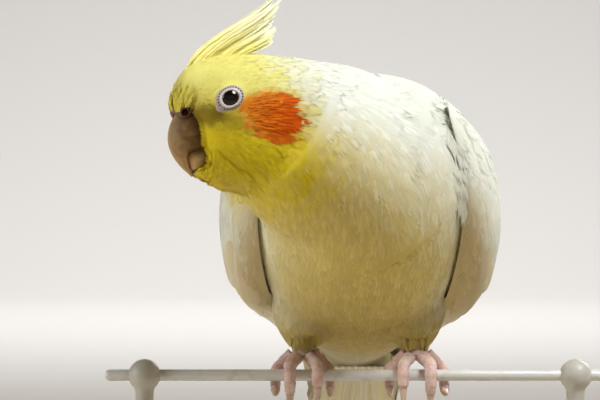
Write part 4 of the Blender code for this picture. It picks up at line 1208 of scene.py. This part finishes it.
lid_finish = Finish("lid_skin", Roughness=0.5, Subsurface_Weight=0.15, Subsurface_Scale=0.001)
ring = lid_finish.attribute("ring", "Fac")
pimple = lid_finish.attribute("pimple", "Fac")
mottle = lid_finish.noise(lid_finish.place(), 1.6, 3.0)
bare = lid_finish.blend(shade(240, 234, 236), shade(226, 220, 224), ring.between(2.1, 2.5))
bare = lid_finish.blend(bare, shade(188, 180, 184), ring.between(2.46, 2.62))
bare = lid_finish.blend(bare, shade(66, 64, 78), pimple.between(0.05, 0.4) * 0.95)
bare = lid_finish.blend(bare, shade(204, 186, 176), ring.between(2.95, 3.2))
lid_finish.colour(lid_finish.blend(bare, shade(206, 182, 184), mottle.between(0.5, 0.8) * 0.35))
lid_finish.bump(mottle, 0.05)

for name, side in SIDES.items():
    axis = eye_axis(side)
    centre = head_point(0, 0, side * EYE_DEPTH)
    lean = np.linspace(0.0, math.pi, 30)[:, None]
    turns = 2 * math.pi * np.arange(56) / 56
    bulge = 1 + 0.035 * np.exp(-((lean / 0.55) ** 2))
    radii = EYE_RADIUS * bulge * np.maximum(np.sin(lean), 0.004) + 0 * turns
    heights = EYE_RADIUS * bulge * np.cos(lean) + 0 * turns
    eye = closed_loft(f"eye_{name}_ball", about(axis, centre, radii, heights, turns))
    store(eye, "ring", np.where(heights > 0, radii, 3.3))
    eye.data.materials.append(eye_finish.material)
    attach(eye, "root")
    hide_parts(f"eye_{name}")

    section = np.array([row for row in through(LID_SECTION, np.linspace(0, 1, 52))])
    section = section[:-1]
    turns = 2 * math.pi * np.arange(PIMPLES * 6) / (PIMPLES * 6)
    radii = section[:, :1] + 0 * turns
    heights = section[:, 1:] + 0 * turns
    # The opening is a little wider than it is high, and tips down in front.
    forward = np.cos(turns - side * math.radians(62))
    radii = radii * (1 + 0.09 * (2 * forward**2 - 1))
    # A bare wedge runs on from the ring below its front.
    wedge = np.exp(-(((turns - (math.pi + side * 0.75) + math.pi) % (2 * math.pi) - math.pi) / 0.34) ** 2)
    radii = radii + wedge * 0.8 * smooth_share(2.6, 3.2, section[:, :1])
    heights = heights - wedge * 0.2 * smooth_share(2.7, 3.3, section[:, :1])
    pimples = np.maximum(0, np.cos(turns * PIMPLES)) ** 0.7 * np.exp(-(((section[:, :1] - 2.74) / 0.17) ** 2))
    upper = (np.arange(len(section)) < 40)[:, None]
    pimples = pimples * upper * (1 - 0.8 * wedge)
    heights = heights + 0.14 * pimples
    points = about(axis, centre, radii, heights, turns)
    faces = grid_triangles(len(section) + 1, len(turns)) % (len(section) * len(turns))
    corners = points.reshape(-1, 3)
    lid = triangle_mesh(f"lid_{name}", corners, outward(corners - np.array(centre), faces))
    store(lid, "ring", section[:, :1] + 0 * turns)
    store(lid, "pimple", pimples)
    lid.data.materials.append(lid_finish.material)
    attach(lid, "root")

# Bill
# Upper and lower bill of horn, grey brown, paler along the cutting edge, with faint growth lines. Each
# is set by pairs of points on its profile in the head's middle plane, and a half width.
BILL_UPPER_ROWS = (
    (7.3, -0.5, 1.0, -7.0, 5.2),
    (10.8, -3.2, 3.2, -10.2, 5.1),
    (12.6, -6.6, 5.4, -12.2, 4.7),
    (13.0, -10.2, 7.8, -12.9, 4.0),
    (12.0, -13.4, 8.4, -14.2, 2.9),
    (10.2, -16.0, 8.0, -15.9, 1.8),
    (8.2, -17.9, 7.3, -17.4, 0.8),
    (7.3, -18.7, 7.0, -18.4, 0.25),
)
BILL_LOWER_ROWS = (
    (1.0, -9.0, 0.6, -15.0, 3.6),
    (3.6, -10.4, 3.6, -16.2, 3.7),
    (5.8, -11.6, 5.8, -17.0, 3.5),
    (7.6, -12.2, 7.3, -17.0, 2.7),
    (8.6, -13.0, 8.2, -15.8, 1.3),
)


def horn_finish(name, painted_light_scale):
    """Bill horn, with growth lines, blotches and a pale cutting edge. It is painted darker at the root and paler
    towards the tip, and scaled lighter where asked: painted light for its shaded lower parts.
    """
    horn = Finish(name, Roughness=0.45, Specular_IOR_Level=0.22, Coat_Weight=0.03, Coat_Roughness=0.35)
    along, round_share, _ = horn.parts(horn.attribute("quill"))
    stretched = horn.node("ShaderNodeCombineXYZ", sockets={0: along * 26, 1: round_share * 3.2})
    lines = horn.noise(stretched, 1.0, 4.0)
    blotch = horn.noise(horn.place(), 0.45, 3.0)
    # Darker at the root and paler towards the tip: painted light, which brightens the shaded lower part of the bill.
    bone = horn.blend(shade(94, 66, 32), shade(200, 166, 118), (blotch * 0.6 + along).between(0.35, 1.15))
    bone = horn.blend(bone, shade(100, 76, 52), lines.between(0.55, 0.75) * 0.35)
    bone = horn.blend(bone, shade(194, 164, 122), abs(round_share - 0.5).between(0.36, 0.48) * 0.75)
    horn.colour(horn.vector("SCALE", bone, Scale=painted_light_scale))
    horn.roughness(0.38 + lines * 0.16)
    horn.bump(lines, 0.05)
    return horn


def profile_loft(name, rows, rings, sides, horn):
    """A closed form whose outline in the head's middle plane is given by pairs of points."""
    layers = []
    turns = 2 * math.pi * np.arange(sides) / sides
    for row in through(rows, np.linspace(0, 1, rings)):
        outer, inner = head_point(row[0], row[1]), head_point(row[2], row[3])
        half, middle = (outer - inner) / 2, (outer + inner) / 2
        wide = np.cos(turns) * row[4] * MM
        # The ridge along the top is a little sharper than a circle.
        tall = np.sin(turns) * (1 + 0.03 * np.sin(turns) ** 6)
        layers.append(np.array(middle) + np.multiply.outer(wide, np.array(HEAD_LEFT)) + np.multiply.outer(tall, np.array(half)))
    made = closed_loft(name, layers)
    t = np.repeat(np.linspace(0, 1, rings), sides)
    around = np.tile(np.abs(((turns / (2 * math.pi) + 0.25) % 1) - 0.5) + 0.0, rings)
    give_quills(made, mesh_arrays(made.data)[0], np.stack((t, around, t * 0), -1), t)
    made.data.materials.append(horn.material)
    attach(made, "root")
    return made


bill_upper = profile_loft("bill_upper_horn", BILL_UPPER_ROWS, 64, 48, horn_finish("bill_horn", 1.0))
# The lower bill's horn is painted 1.2 times lighter: painted light in the shade of the upper bill.
bill_lower = profile_loft("bill_lower_horn", BILL_LOWER_ROWS, 32, 40, horn_finish("bill_lower_horn", 1.2))
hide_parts("bill_upper")
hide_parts("bill_lower")

# Cere
# The soft bare skin over the bill's root, with a dark nostril sunk into each side.
cere_skin = Finish("cere_skin", Roughness=0.55, Subsurface_Weight=0.2, Subsurface_Scale=0.001)
u, v, left = [
    cere_skin.vector("DOT_PRODUCT", cere_skin.vector("SUBTRACT", cere_skin.place(1.0), tuple(HEAD_CENTRE)), tuple(axis), output="Value") / MM
    for axis in (HEAD_FORWARD, UP, HEAD_LEFT)
]
hole = ((u - NOSTRIL[0]) ** 2 + (v - NOSTRIL[1]) ** 2) ** 0.5
pores = cere_skin.noise(cere_skin.place(), 2.2, 4.0)
flesh_tone = cere_skin.blend(shade(112, 84, 66), shade(146, 118, 98), pores.between(0.35, 0.7))
flesh_tone = cere_skin.blend(flesh_tone, shade(92, 40, 30), hole.between(1.35, 0.85))
cere_skin.colour(cere_skin.blend(flesh_tone, shade(34, 8, 6), hole.between(0.85, 0.6)))
cere_skin.bump(pores, 0.10)
cere = new_object("cere_flesh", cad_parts["cere"].data.copy())
for name, kind in (("fuse", "REMESH"), ("soften", "SMOOTH")):
    cere.modifiers.new(name, kind)
cere.modifiers["fuse"].mode = "VOXEL"
cere.modifiers["fuse"].voxel_size = 0.16 * MM
cere.modifiers["soften"].iterations = 4
apply_modifiers(cere)
cere.data.shade_smooth()
cere.data.materials.clear()
cere.data.materials.append(cere_skin.material)
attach(cere, "root")
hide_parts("cere")

# Wing feathers
# Behind the small coverts come rows of smooth vanes: median and greater coverts, secondaries and
# tertials, the alula and primary coverts along the lower edge, and the long primaries over the tail.
VANE_COLUMNS = 11


def vane_finish(name):
    """Smooth vanes: white with a warm shade at the quill, yellow towards the outer edge, fine barb lines."""
    finish = Finish(name, Roughness=0.65, Specular_IOR_Level=0.2)
    along, across, _ = finish.parts(finish.attribute("quill"))
    run, reach, strand = finish.parts(finish.attribute("lines"))
    tint = finish.attribute("tint", "Fac")
    white = finish.blend(shade(242, 238, 222), shade(224, 214, 184), tint)
    vane = finish.blend(white, shade(242, 230, 150), across.between(0.3, 1.0) * (strand * 0.5 + 0.2))
    vane = finish.blend(vane, shade(226, 212, 190), along.between(0.6, 0.0) * 0.4)
    slant = run - abs(reach) * 1.1
    ripple = (slant * 11).wave() * 0.5 + 0.5
    weave = finish.node("ShaderNodeCombineXYZ", sockets={0: slant * 2.2, 1: reach * 0.12, 2: strand * 9})
    split = finish.noise(weave, 1.0)
    vane = finish.blend(vane, shade(212, 202, 182), split.between(0.62, 0.8) * 0.2)
    vane = finish.blend(vane, shade(250, 247, 232), abs(reach).between(0.5, 0.2) * 0.7)
    # The lower wing is painted darker next to the body: painted shade in the groove between wing and breast.
    x, y, z = finish.parts(finish.vector("SUBTRACT", finish.place(1.0), tuple(TORSO_CENTRE)))
    below = (y * DORSAL.y + z * DORSAL.z) / MM * -1
    finish.colour(finish.blend(vane, shade(196, 174, 122), (abs(x) / MM).between(36, 29) * below.between(6, 20) * 0.85))
    finish.bump(ripple * 0.3 + split, 0.03)
    return finish


vanes_finish = vane_finish("vanes")


def vane_half_width(t, tip_share):
    """How wide a feather is along its length, as a share: narrow at the quill, round at the tip."""
    rounding = np.clip((t - (1 - tip_share)) / tip_share, 0, 1)
    return (0.5 + 0.5 * smooth_share(0, 0.3, t)) * np.sqrt(np.maximum(1 - rounding**2.2, 0.0009))


def vane(surface, draw, root, tip, width, rise, tilt=0.0, shaft=0.0, sag=0.0, rows=16):
    """
    One large feather from root to tip, both given by the surface's two measures. It rises from one
    height to another, may tilt across, has its shaft off the middle, and may sag off the straight line.
    """
    root, tip = np.array(root, float), np.array(tip, float)
    length = abs(tip[0] - root[0])
    y = np.linspace(-1, 1, VANE_COLUMNS)
    t = 1 - (1 - np.linspace(0, 1, rows)) ** 1.5
    notch = 1 - 0.06 * draw.random((rows, 2)) * (t[:, None] > 0.15)
    shape = vane_half_width(t, min(0.6, 0.62 * width / length))
    reach = shape[:, None] * np.where(y < shaft, notch[:, :1], notch[:, 1:]) * (y * width / 2)
    bend = draw.uniform(-0.02, 0.02) * length * t**2
    place = (root[0] + (tip[0] - root[0]) * t)[:, None] + 0 * y
    side = (root[1] + (tip[1] - root[1]) * t + sag * np.sin(math.pi * t))[:, None]
    height = (rise[0] + (rise[1] - rise[0]) * t)[:, None]
    camber = -0.05 * width * (y**2) * shape[:, None] + tilt * reach
    ridge = 0.14 * np.exp(-(((y - shaft) / 0.1) ** 2)) * (1 - 0.7 * t)[:, None]
    thick = (0.08 + 0.10 * (1 - np.abs(y))) * (1 - 0.45 * t)[:, None]
    across = reach + bend[:, None]
    upper = surface(place, side, across, height + camber + thick + ridge)
    lower = surface(place, side, across, height + camber - thick)
    corners = np.concatenate((upper, lower[:, ::-1]), axis=1)
    lift = surface(place, side, across, height + 1) - surface(place, side, across, height)
    facing = np.concatenate((lift, -lift[:, ::-1]), axis=1)
    facing /= np.linalg.norm(facing, axis=2, keepdims=True)
    columns = np.concatenate((y, y[::-1])) + 0 * t[:, None]
    off_shaft = np.concatenate((reach, reach[:, ::-1]), axis=1) - shaft * width / 2
    t = t[:, None] + 0 * columns
    strand = draw.random() + 0 * columns
    quills = np.stack((t, columns, strand), -1)
    lines = np.stack((t * length, off_shaft, strand), -1)
    return [part.reshape(-1, 3) for part in (corners, facing, quills, lines)] + [rows]


def vanes(name, feathers, draw):
    """Large feathers as one mesh, with their places and the run of their barbs stored on it."""
    parts = [np.concatenate(part) for part in list(zip(*feathers))[:4]]
    corners, facing, quills, lines = parts
    faces, roots, tints, count = [], [], [], 0
    for own, *_, rows in feathers:
        faces.append(outward(own - own.mean(axis=0), ring_faces(rows, 2 * VANE_COLUMNS)) + count)
        roots.append(np.tile(own[VANE_COLUMNS // 2], (len(own), 1)))
        tints.append(np.full(len(own), draw.random()))
        count += len(own)
    made = triangle_mesh(name, corners, np.concatenate(faces))
    stored = made.data.attributes.new("lines", "FLOAT_VECTOR", "POINT")
    stored.data.foreach_set("vector", lines.astype(np.float32).ravel())
    roots, tints = np.concatenate(roots), np.concatenate(tints)
    return finished_feathers(made, roots, facing, quills, tints, vanes_finish, softness=0.4)


def wing_surface(side, over_core):
    """Turns places on a wing, with millimetres across it, into points over its core or over its sheet."""

    def surface(place, angle, across, height):
        one = wing_point(side, place, angle + 0.5, 3.0) - wing_point(side, place, angle - 0.5, 3.0)
        angle = angle + across / (np.linalg.norm(one, axis=-1) / MM)
        crown = wing_crown(side, place, angle) - COVERT_DEPTH if over_core else 0
        return wing_point(side, place, angle, crown + height)

    return surface


# Rows: place of the quills, place of the tips, feathers in the row, width, lift at the tip.
WING_TIERS = (
    (0, -15, 9, 9.0, 0.75),
    (-8, -25, 9, 9.4, 0.85),
    (-17, -39, 10, 9.2, 1.0),
    (-30, -64, 11, 8.8, 1.0),
)
for name, side in SIDES.items():
    draw = np.random.default_rng(40 + side)
    over_core, over_sheet = wing_surface(side, True), wing_surface(side, False)
    coverts = []
    for row, (start, end, number, width, lift) in enumerate(WING_TIERS):
        low, high = wing_edges(side, start)
        low_tip, high_tip = wing_edges(side, end)
        for k in range(number):
            t = 0.16 + 0.84 * (k + 0.25 + 0.5 * (row % 2)) / number
            root = (start, low + (high - low) * t)
            ragged_end = end - 2.0 * math.sin(math.pi * t) + draw.uniform(-0.8, 0.8)
            tip = (ragged_end, low_tip + (high_tip - low_tip) * t)
            coverts.append(vane(over_core, draw, root, tip, width, (-0.9, lift), 0.08, -0.15))
    vanes(f"wing_coverts_{name}", coverts, draw)
    edge = []
    # Rows: feathers, first quill's place, step, first tip's place, step, degrees over the edge, width, lift.
    for number, start, step, end, end_step, over, width, lift in (
        (3, 18, -4, -5, -6, 13.0, 6.2, 0.7),
        (4, 13, -5, -19, -8, 9.0, 6.4, 0.7),
        (4, 8, -7, -58, -4, 4.0, 6.6, 0.6),
    ):
        for k in range(number):
            root_place, tip_place = start + step * k, end + end_step * k
            low, low_tip = wing_edges(side, root_place)[0], wing_edges(side, tip_place)[0]
            root, tip = (root_place, low + over), (tip_place, low_tip + over * 0.9)
            sag = -0.09 * (root_place - tip_place)
            lifts = (-0.9, lift - 0.12 * k)
            edge.append(vane(over_core, draw, root, tip, width, lifts, 0.06, -0.3, sag=sag, rows=20))
    vanes(f"wing_edge_{name}", edge, draw)
    flight = []
    for k in range(8):
        t = k / 7 * 3
        root, tip = (-52.0 + 0.5 * k, 8 + 11 * t), (-138 + 11 * t - 1.5 * (k % 2), 25 + 5 * t)
        level = 0.1 + 0.42 * k
        flight.append(vane(over_sheet, draw, root, tip, 7.6, (level, level), 0.04, -0.35, rows=30))
    for k in range(4):
        root, tip = (-31 - 3.0 * k, 62 - 11 * k), (-88 + 5 * k, 60 - 10 * k)
        flight.append(vane(over_core, draw, root, tip, 9.4, (-0.4, 1.9 - 0.2 * k), 0.05, 0.0, rows=24))
    vanes(f"flight_feathers_{name}", flight, draw)

# Tail
# Twelve long graduated feathers in overlapping layers, the middle pair longest and on top, with short
# coverts over and under their roots.
TAIL_LENGTHS = (160, 150, 128, 108, 90, 75)
TAIL_SPREAD = (2.2, 4.6, 7.2, 9.6, 11.6, 13.2)
TAIL_LAYER = 0.86


def tail_surface(place, side, across, height):
    return tail_point(place, side + across, height)


draw = np.random.default_rng(50)
feathers = []
for k, length in enumerate(TAIL_LENGTHS):
    for side in (-1, 1):
        level = -TAIL_LAYER * (k + 0.9 * (k > 0 or side < 0))
        reach = TAIL_SPREAD[k] * (0.35 if k == 0 else 1.0)
        width = 9.6 if k == 0 else min(9.4, 2 * reach - 0.4)
        root, tip = (6, side * (1.4 + 1.1 * k)), (length, side * reach)
        shaft = 0.12 * side * min(k, 3)
        feathers.append(vane(tail_surface, draw, root, tip, width, (level, level - 0.5), 0.0, shaft, rows=38))
tail_feathers = vanes("tail_feathers", feathers, draw)
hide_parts("tail")
feathers = []
for k in range(9):
    across = (k - 4) * 2.3
    length = 36 - abs(k - 4) * 3
    root = (4, across * 0.8)
    upper, under = 1.9 - 0.12 * abs(k - 4), -TAIL_LAYER * 6.6
    feathers.append(vane(tail_surface, draw, root, (8 + length, across), 6.0, (upper, 0.9)))
    feathers.append(vane(tail_surface, draw, root, (12 + length, across), 6.0, (under, under - 0.5)))
vanes("tail_coverts", feathers, draw)

# Legs
# Short bare shanks and toes in soft pink skin with small scales. Toes two and three wrap the wire in
# front, and one and four behind.
FOOT_SPREAD = 14.8
FRONT_PATH = ((5.0, 4.7), (1.8, 3.9), (-0.9, 3.2), (-3.0, 2.0), (-3.7, 0.0), (-3.6, -2.2), (-3.1, -4.0))
BACK_PATH = ((5.0, 5.3), (5.2, 3.3), (4.3, 0.8), (3.5, -1.4), (2.2, -3.1), (0.6, -3.9))
# Rows: the toe's number, its place outwards along the perch, thickness, path, share of the path, curl.
TOES = (
    (1, -7.0, 1.55, BACK_PATH, 0.86, -0.35),
    (2, -3.7, 1.75, FRONT_PATH, 0.84, -0.55),
    (3, 3.4, 1.85, FRONT_PATH, 1.0, -0.55),
    (4, 7.2, 1.6, BACK_PATH, 1.0, -0.35),
)
CLAW_LENGTH = 6.4

leg_skin = Finish("leg_skin", Roughness=0.5, Specular_IOR_Level=0.4, Subsurface_Weight=0.25, Subsurface_Scale=0.0015)
run, around, _ = leg_skin.parts(leg_skin.attribute("quill"))
tile = leg_skin.node("ShaderNodeCombineXYZ", sockets={0: run * 1.1, 1: around * 4.0})
scale_gap = leg_skin.cells(tile, 1.0, "DISTANCE_TO_EDGE").between(0.10, 0.0)
mottle = leg_skin.noise(leg_skin.place(), 0.4, 3.0)
pink = leg_skin.blend(shade(236, 214, 208), shade(220, 184, 178), mottle.between(0.35, 0.7))
leg_skin.colour(leg_skin.blend(pink, shade(196, 150, 142), scale_gap * 0.35))
leg_skin.bump(1 - scale_gap, 0.06)

claw_horn = Finish("claw_horn", Roughness=0.32, Specular_IOR_Level=0.5)
run, around, _ = claw_horn.parts(claw_horn.attribute("quill"))
streak = claw_horn.noise(claw_horn.node("ShaderNodeCombineXYZ", sockets={0: run * 0.6, 1: around * 7}), 1.0)
horn_tone = claw_horn.blend(shade(216, 194, 178), shade(178, 148, 128), (run / CLAW_LENGTH + streak * 0.5).between(0.3, 1.1))
claw_horn.colour(claw_horn.blend(horn_tone, shade(190, 130, 118), run.between(1.6, 0.2) * 0.7))
claw_horn.bump(streak, 0.04)


def tube(name, path, sides, knuckles=0.0, flat=0.0):
    """A closed tube along rows of (x, y, z, radius), in millimetres from the wire."""
    path = np.array(path, float)
    centres, radii = path[:, :3], path[:, 3]
    along = np.gradient(centres, axis=0)
    along /= np.linalg.norm(along, axis=1, keepdims=True)
    side = flat_to(np.tile((1.0, 0, 0), (len(path), 1)), along)
    over = np.cross(along, side)
    turns = 2 * math.pi * np.arange(sides) / sides
    run = np.concatenate(([0], np.linalg.norm(np.diff(centres, axis=0), axis=1).cumsum()))
    swell = 1 + knuckles * np.cos(run / 2.6 * 2 * math.pi)[:, None] * 0.5 + 0 * turns
    wide = np.cos(turns) * swell * radii[:, None]
    tall = np.sin(turns) * swell * radii[:, None] * (1 - flat)
    points = centres[:, None] + wide[..., None] * side[:, None] + tall[..., None] * over[:, None]
    made = closed_loft(name, np.array(WIRE) + points * MM)
    around = np.tile(np.abs(turns / math.pi - 1), len(path))
    long = np.repeat(run, sides)
    give_quills(made, mesh_arrays(made.data)[0], np.stack((long, around, 0 * long), -1), 0 * long)
    return made


def joined(name, pieces):
    """One object from several closed ones."""
    first, *others = pieces
    first.name = name
    for other in others:
        corners = len(first.data.vertices)
        work = bmesh.new()
        work.from_mesh(first.data)
        work.from_mesh(other.data)
        work.to_mesh(first.data)
        work.free()
        bpy.data.objects.remove(other)
    first.data.shade_smooth()
    return first


# Loose feathers at the rim of each thigh hang down round the root of the toes and hide the shank.
def rim_spacing(points):
    x, y, z = (np.asarray(points) - np.array(WIRE)).T / MM
    near = np.hypot(abs(x) - FOOT_SPREAD, y - 2) < 13.5
    return np.where(near & (z > 6.0) & (z < 10), 0.7, 0)


roots, facing = scatter(skin, rim_spacing, seed=51)
outer = (facing[:, 2] > -0.75) & (roots[:, 1] - WIRE.y < 4 * MM)
roots, facing = roots[outer], facing[outer]
draw = np.random.default_rng(52)
x, y, z = (roots - np.array(WIRE)).T / MM
foot = np.where(x > 0, FOOT_SPREAD, -FOOT_SPREAD)
out = np.stack((x - foot, y - 2.0, 0 * z), axis=1)
out /= np.linalg.norm(out, axis=1, keepdims=True)
drop = np.interp(z, (6.0, 10), (2.4, 3.8)) * draw.uniform(0.8, 1.15, len(roots))
inward = np.interp(z, (6.0, 10), (0.72, 0.94))[:, None]
ends = roots * inward + (np.array(WIRE) + np.stack((foot, 2.0 + 0 * z, z), axis=1) * MM) * (1 - inward)
ends[:, 2] -= drop * MM
ends_up = out * 0.4 + facing * 0.8
ends_up /= np.linalg.norm(ends_up, axis=1, keepdims=True)
sheets = bridge((roots, facing), (ends, ends_up), drop * 0.28, 0.12)
fans("thigh_tufts", sheets, drop, drop * 0.03, 11, ragged=0.22, seed=53, softness=0.85)

for name, side in SIDES.items():
    foot = side * FOOT_SPREAD
    shank_rows = (
        (foot, 4.4, 4.2, 2.1),
        (foot + side * 0.2, 5.4, 6.4, 2.45),
        (foot + side * 0.6, 8.0, 9.4, 2.2),
        (foot + side * 1.4, 12.0, 14.0, 2.2),
    )
    pieces = [tube(f"leg_{name}_shank", through(shank_rows, np.linspace(0, 1, 22)), 26, knuckles=0.03)]
    for number, aside, thickness, path, reach, curl in TOES:
        rows = []
        for k, (y, z) in enumerate(path):
            t = k / (len(path) - 1)
            rows.append((side * (FOOT_SPREAD + aside * min(1.0, 0.4 + 1.5 * t)), y, z, thickness * (1 - 0.24 * t)))
        toe = through(rows, np.linspace(0, reach, 34))
        ahead = toe[-1, :3] - toe[-4, :3]
        ahead /= np.linalg.norm(ahead)
        end = [(*(toe[-1, :3] + ahead * step), toe[-1, 3] * shrink) for step, shrink in ((0.35, 0.8), (0.6, 0.45))]
        pieces.append(tube("toe", [*toe, *end], 20, knuckles=0.10, flat=0.06))
        claw = []
        for k in range(14):
            t = k / 13
            turned_way = Matrix.Rotation(curl * t, 3, "X") @ Vector(ahead)
            claw.append((*(Vector(toe[-1, :3]) + turned_way * CLAW_LENGTH * t), 1.08 * (1 - t) ** 0.7 + 0.07))
        horn_claw = tube(f"claw_{name}_{number}_horn", claw, 14, flat=0.12)
        horn_claw.data.materials.append(claw_horn.material)
        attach(horn_claw, "root")
        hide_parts(f"claw_{name}_{number}")
    leg = joined(f"leg_{name}_skin", pieces)
    leg.data.materials.append(leg_skin.material)
    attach(leg, "root")
    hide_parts(f"leg_{name}")

# Perch
# A straight length of cage wire in white enamel, a little uneven and worn.
PERCH_RADIUS = 1.5
PERCH_LENGTH = 132.0
enamel = Finish("white_enamel", Roughness=0.3, Coat_Weight=0.3, Coat_Roughness=0.15)
grime = enamel.noise(enamel.place(), 0.25, 4.0)
enamel.colour(enamel.blend(shade(226, 227, 228), shade(186, 180, 172), grime.between(0.5, 0.75) * 0.5))
enamel.roughness(0.25 + grime * 0.2)
enamel.bump(grime, 0.03)
half = PERCH_LENGTH / 2
rows = [(-half, 0, 0, 0.9), (-half + 0.3, 0, 0, 1.25), (-half + 0.9, 0, 0, PERCH_RADIUS)]
rows += [(half - 0.9, 0, 0, PERCH_RADIUS), (half - 0.3, 0, 0, 1.25), (half, 0, 0, 0.9)]
turns = 2 * math.pi * np.arange(48) / 48
rings = [np.array(from_wire(x, 0, 0)) + np.stack((0 * turns, np.cos(turns), np.sin(turns)), -1) * r * MM for x, _, _, r in rows]
perch = closed_loft("perch_wire", rings)
perch.data.materials.append(enamel.material)
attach(perch, "root")
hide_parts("perch")

# Display stand
# A plain painted base with two turned rods whose balls carry the wire.
ROD_SPREAD = 56.0
BASE_SIZE = (138.0, 116.0, 6.0)
BASE_CENTRE_Y = 14.0
BASE_CORNER = 14.0
floor_level = -WIRE.z / MM
paint = Finish("stand_paint", Roughness=0.42, Coat_Weight=0.15, Coat_Roughness=0.3)
speckle = paint.noise(paint.place(), 0.6, 5.0)
paint.colour(paint.blend(shade(208, 206, 200), shade(196, 193, 186), speckle))
paint.bump(speckle, 0.02)
for name, side in SIDES.items():
    profile = [(0.02, 0.3), (6.7, 0.3), (7.0, 0.6), (7.0, 1.7), (6.7, 2.2), (6.0, 2.4), (3.2, 2.7), (2.4, 3.6), (2.4, 4.5)]
    ball_height = -floor_level - BASE_SIZE[2]
    profile += [(2.4, ball_height - 4.4), (2.5, ball_height - 3.9)]
    for step in range(4, 19):
        lean = math.pi * step / 18
        profile.append((max(0.02, 4.2 * math.sin(lean)), ball_height - 4.2 * math.cos(lean)))
    place = from_wire(side * ROD_SPREAD, 0, floor_level + BASE_SIZE[2])
    corners, faces = turned([(r * MM, z * MM) for r, z in profile], 48, place)
    faces = outward(corners - corners.mean(axis=0), ring_faces(len(profile), 48))
    rod = triangle_mesh(f"stand_rod_{name}_turned", corners, faces)
    rod.data.materials.append(paint.material)
    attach(rod, "root")
    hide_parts(f"stand_rod_{name}")
rings = []
for z, inset in ((0, 0.8), (0.25, 0.3), (0.8, 0), (5.0, 0), (5.6, 0.25), (5.9, 0.6), (6.0, 1.2)):
    ring = []
    for k in range(4):
        for step in range(13):
            angle = math.pi / 2 * (k + step / 12)
            x = (1, -1, -1, 1)[k] * (BASE_SIZE[0] / 2 - BASE_CORNER) + math.cos(angle) * (BASE_CORNER - inset)
            y = (1, 1, -1, -1)[k] * (BASE_SIZE[1] / 2 - BASE_CORNER) + math.sin(angle) * (BASE_CORNER - inset)
            ring.append(from_wire(x, y + BASE_CENTRE_Y, floor_level + z))
    rings.append(ring)
base = closed_loft("stand_base_board", rings)
base.data.shade_flat()
base.data.materials.append(paint.material)
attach(base, "root")
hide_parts("stand_base")
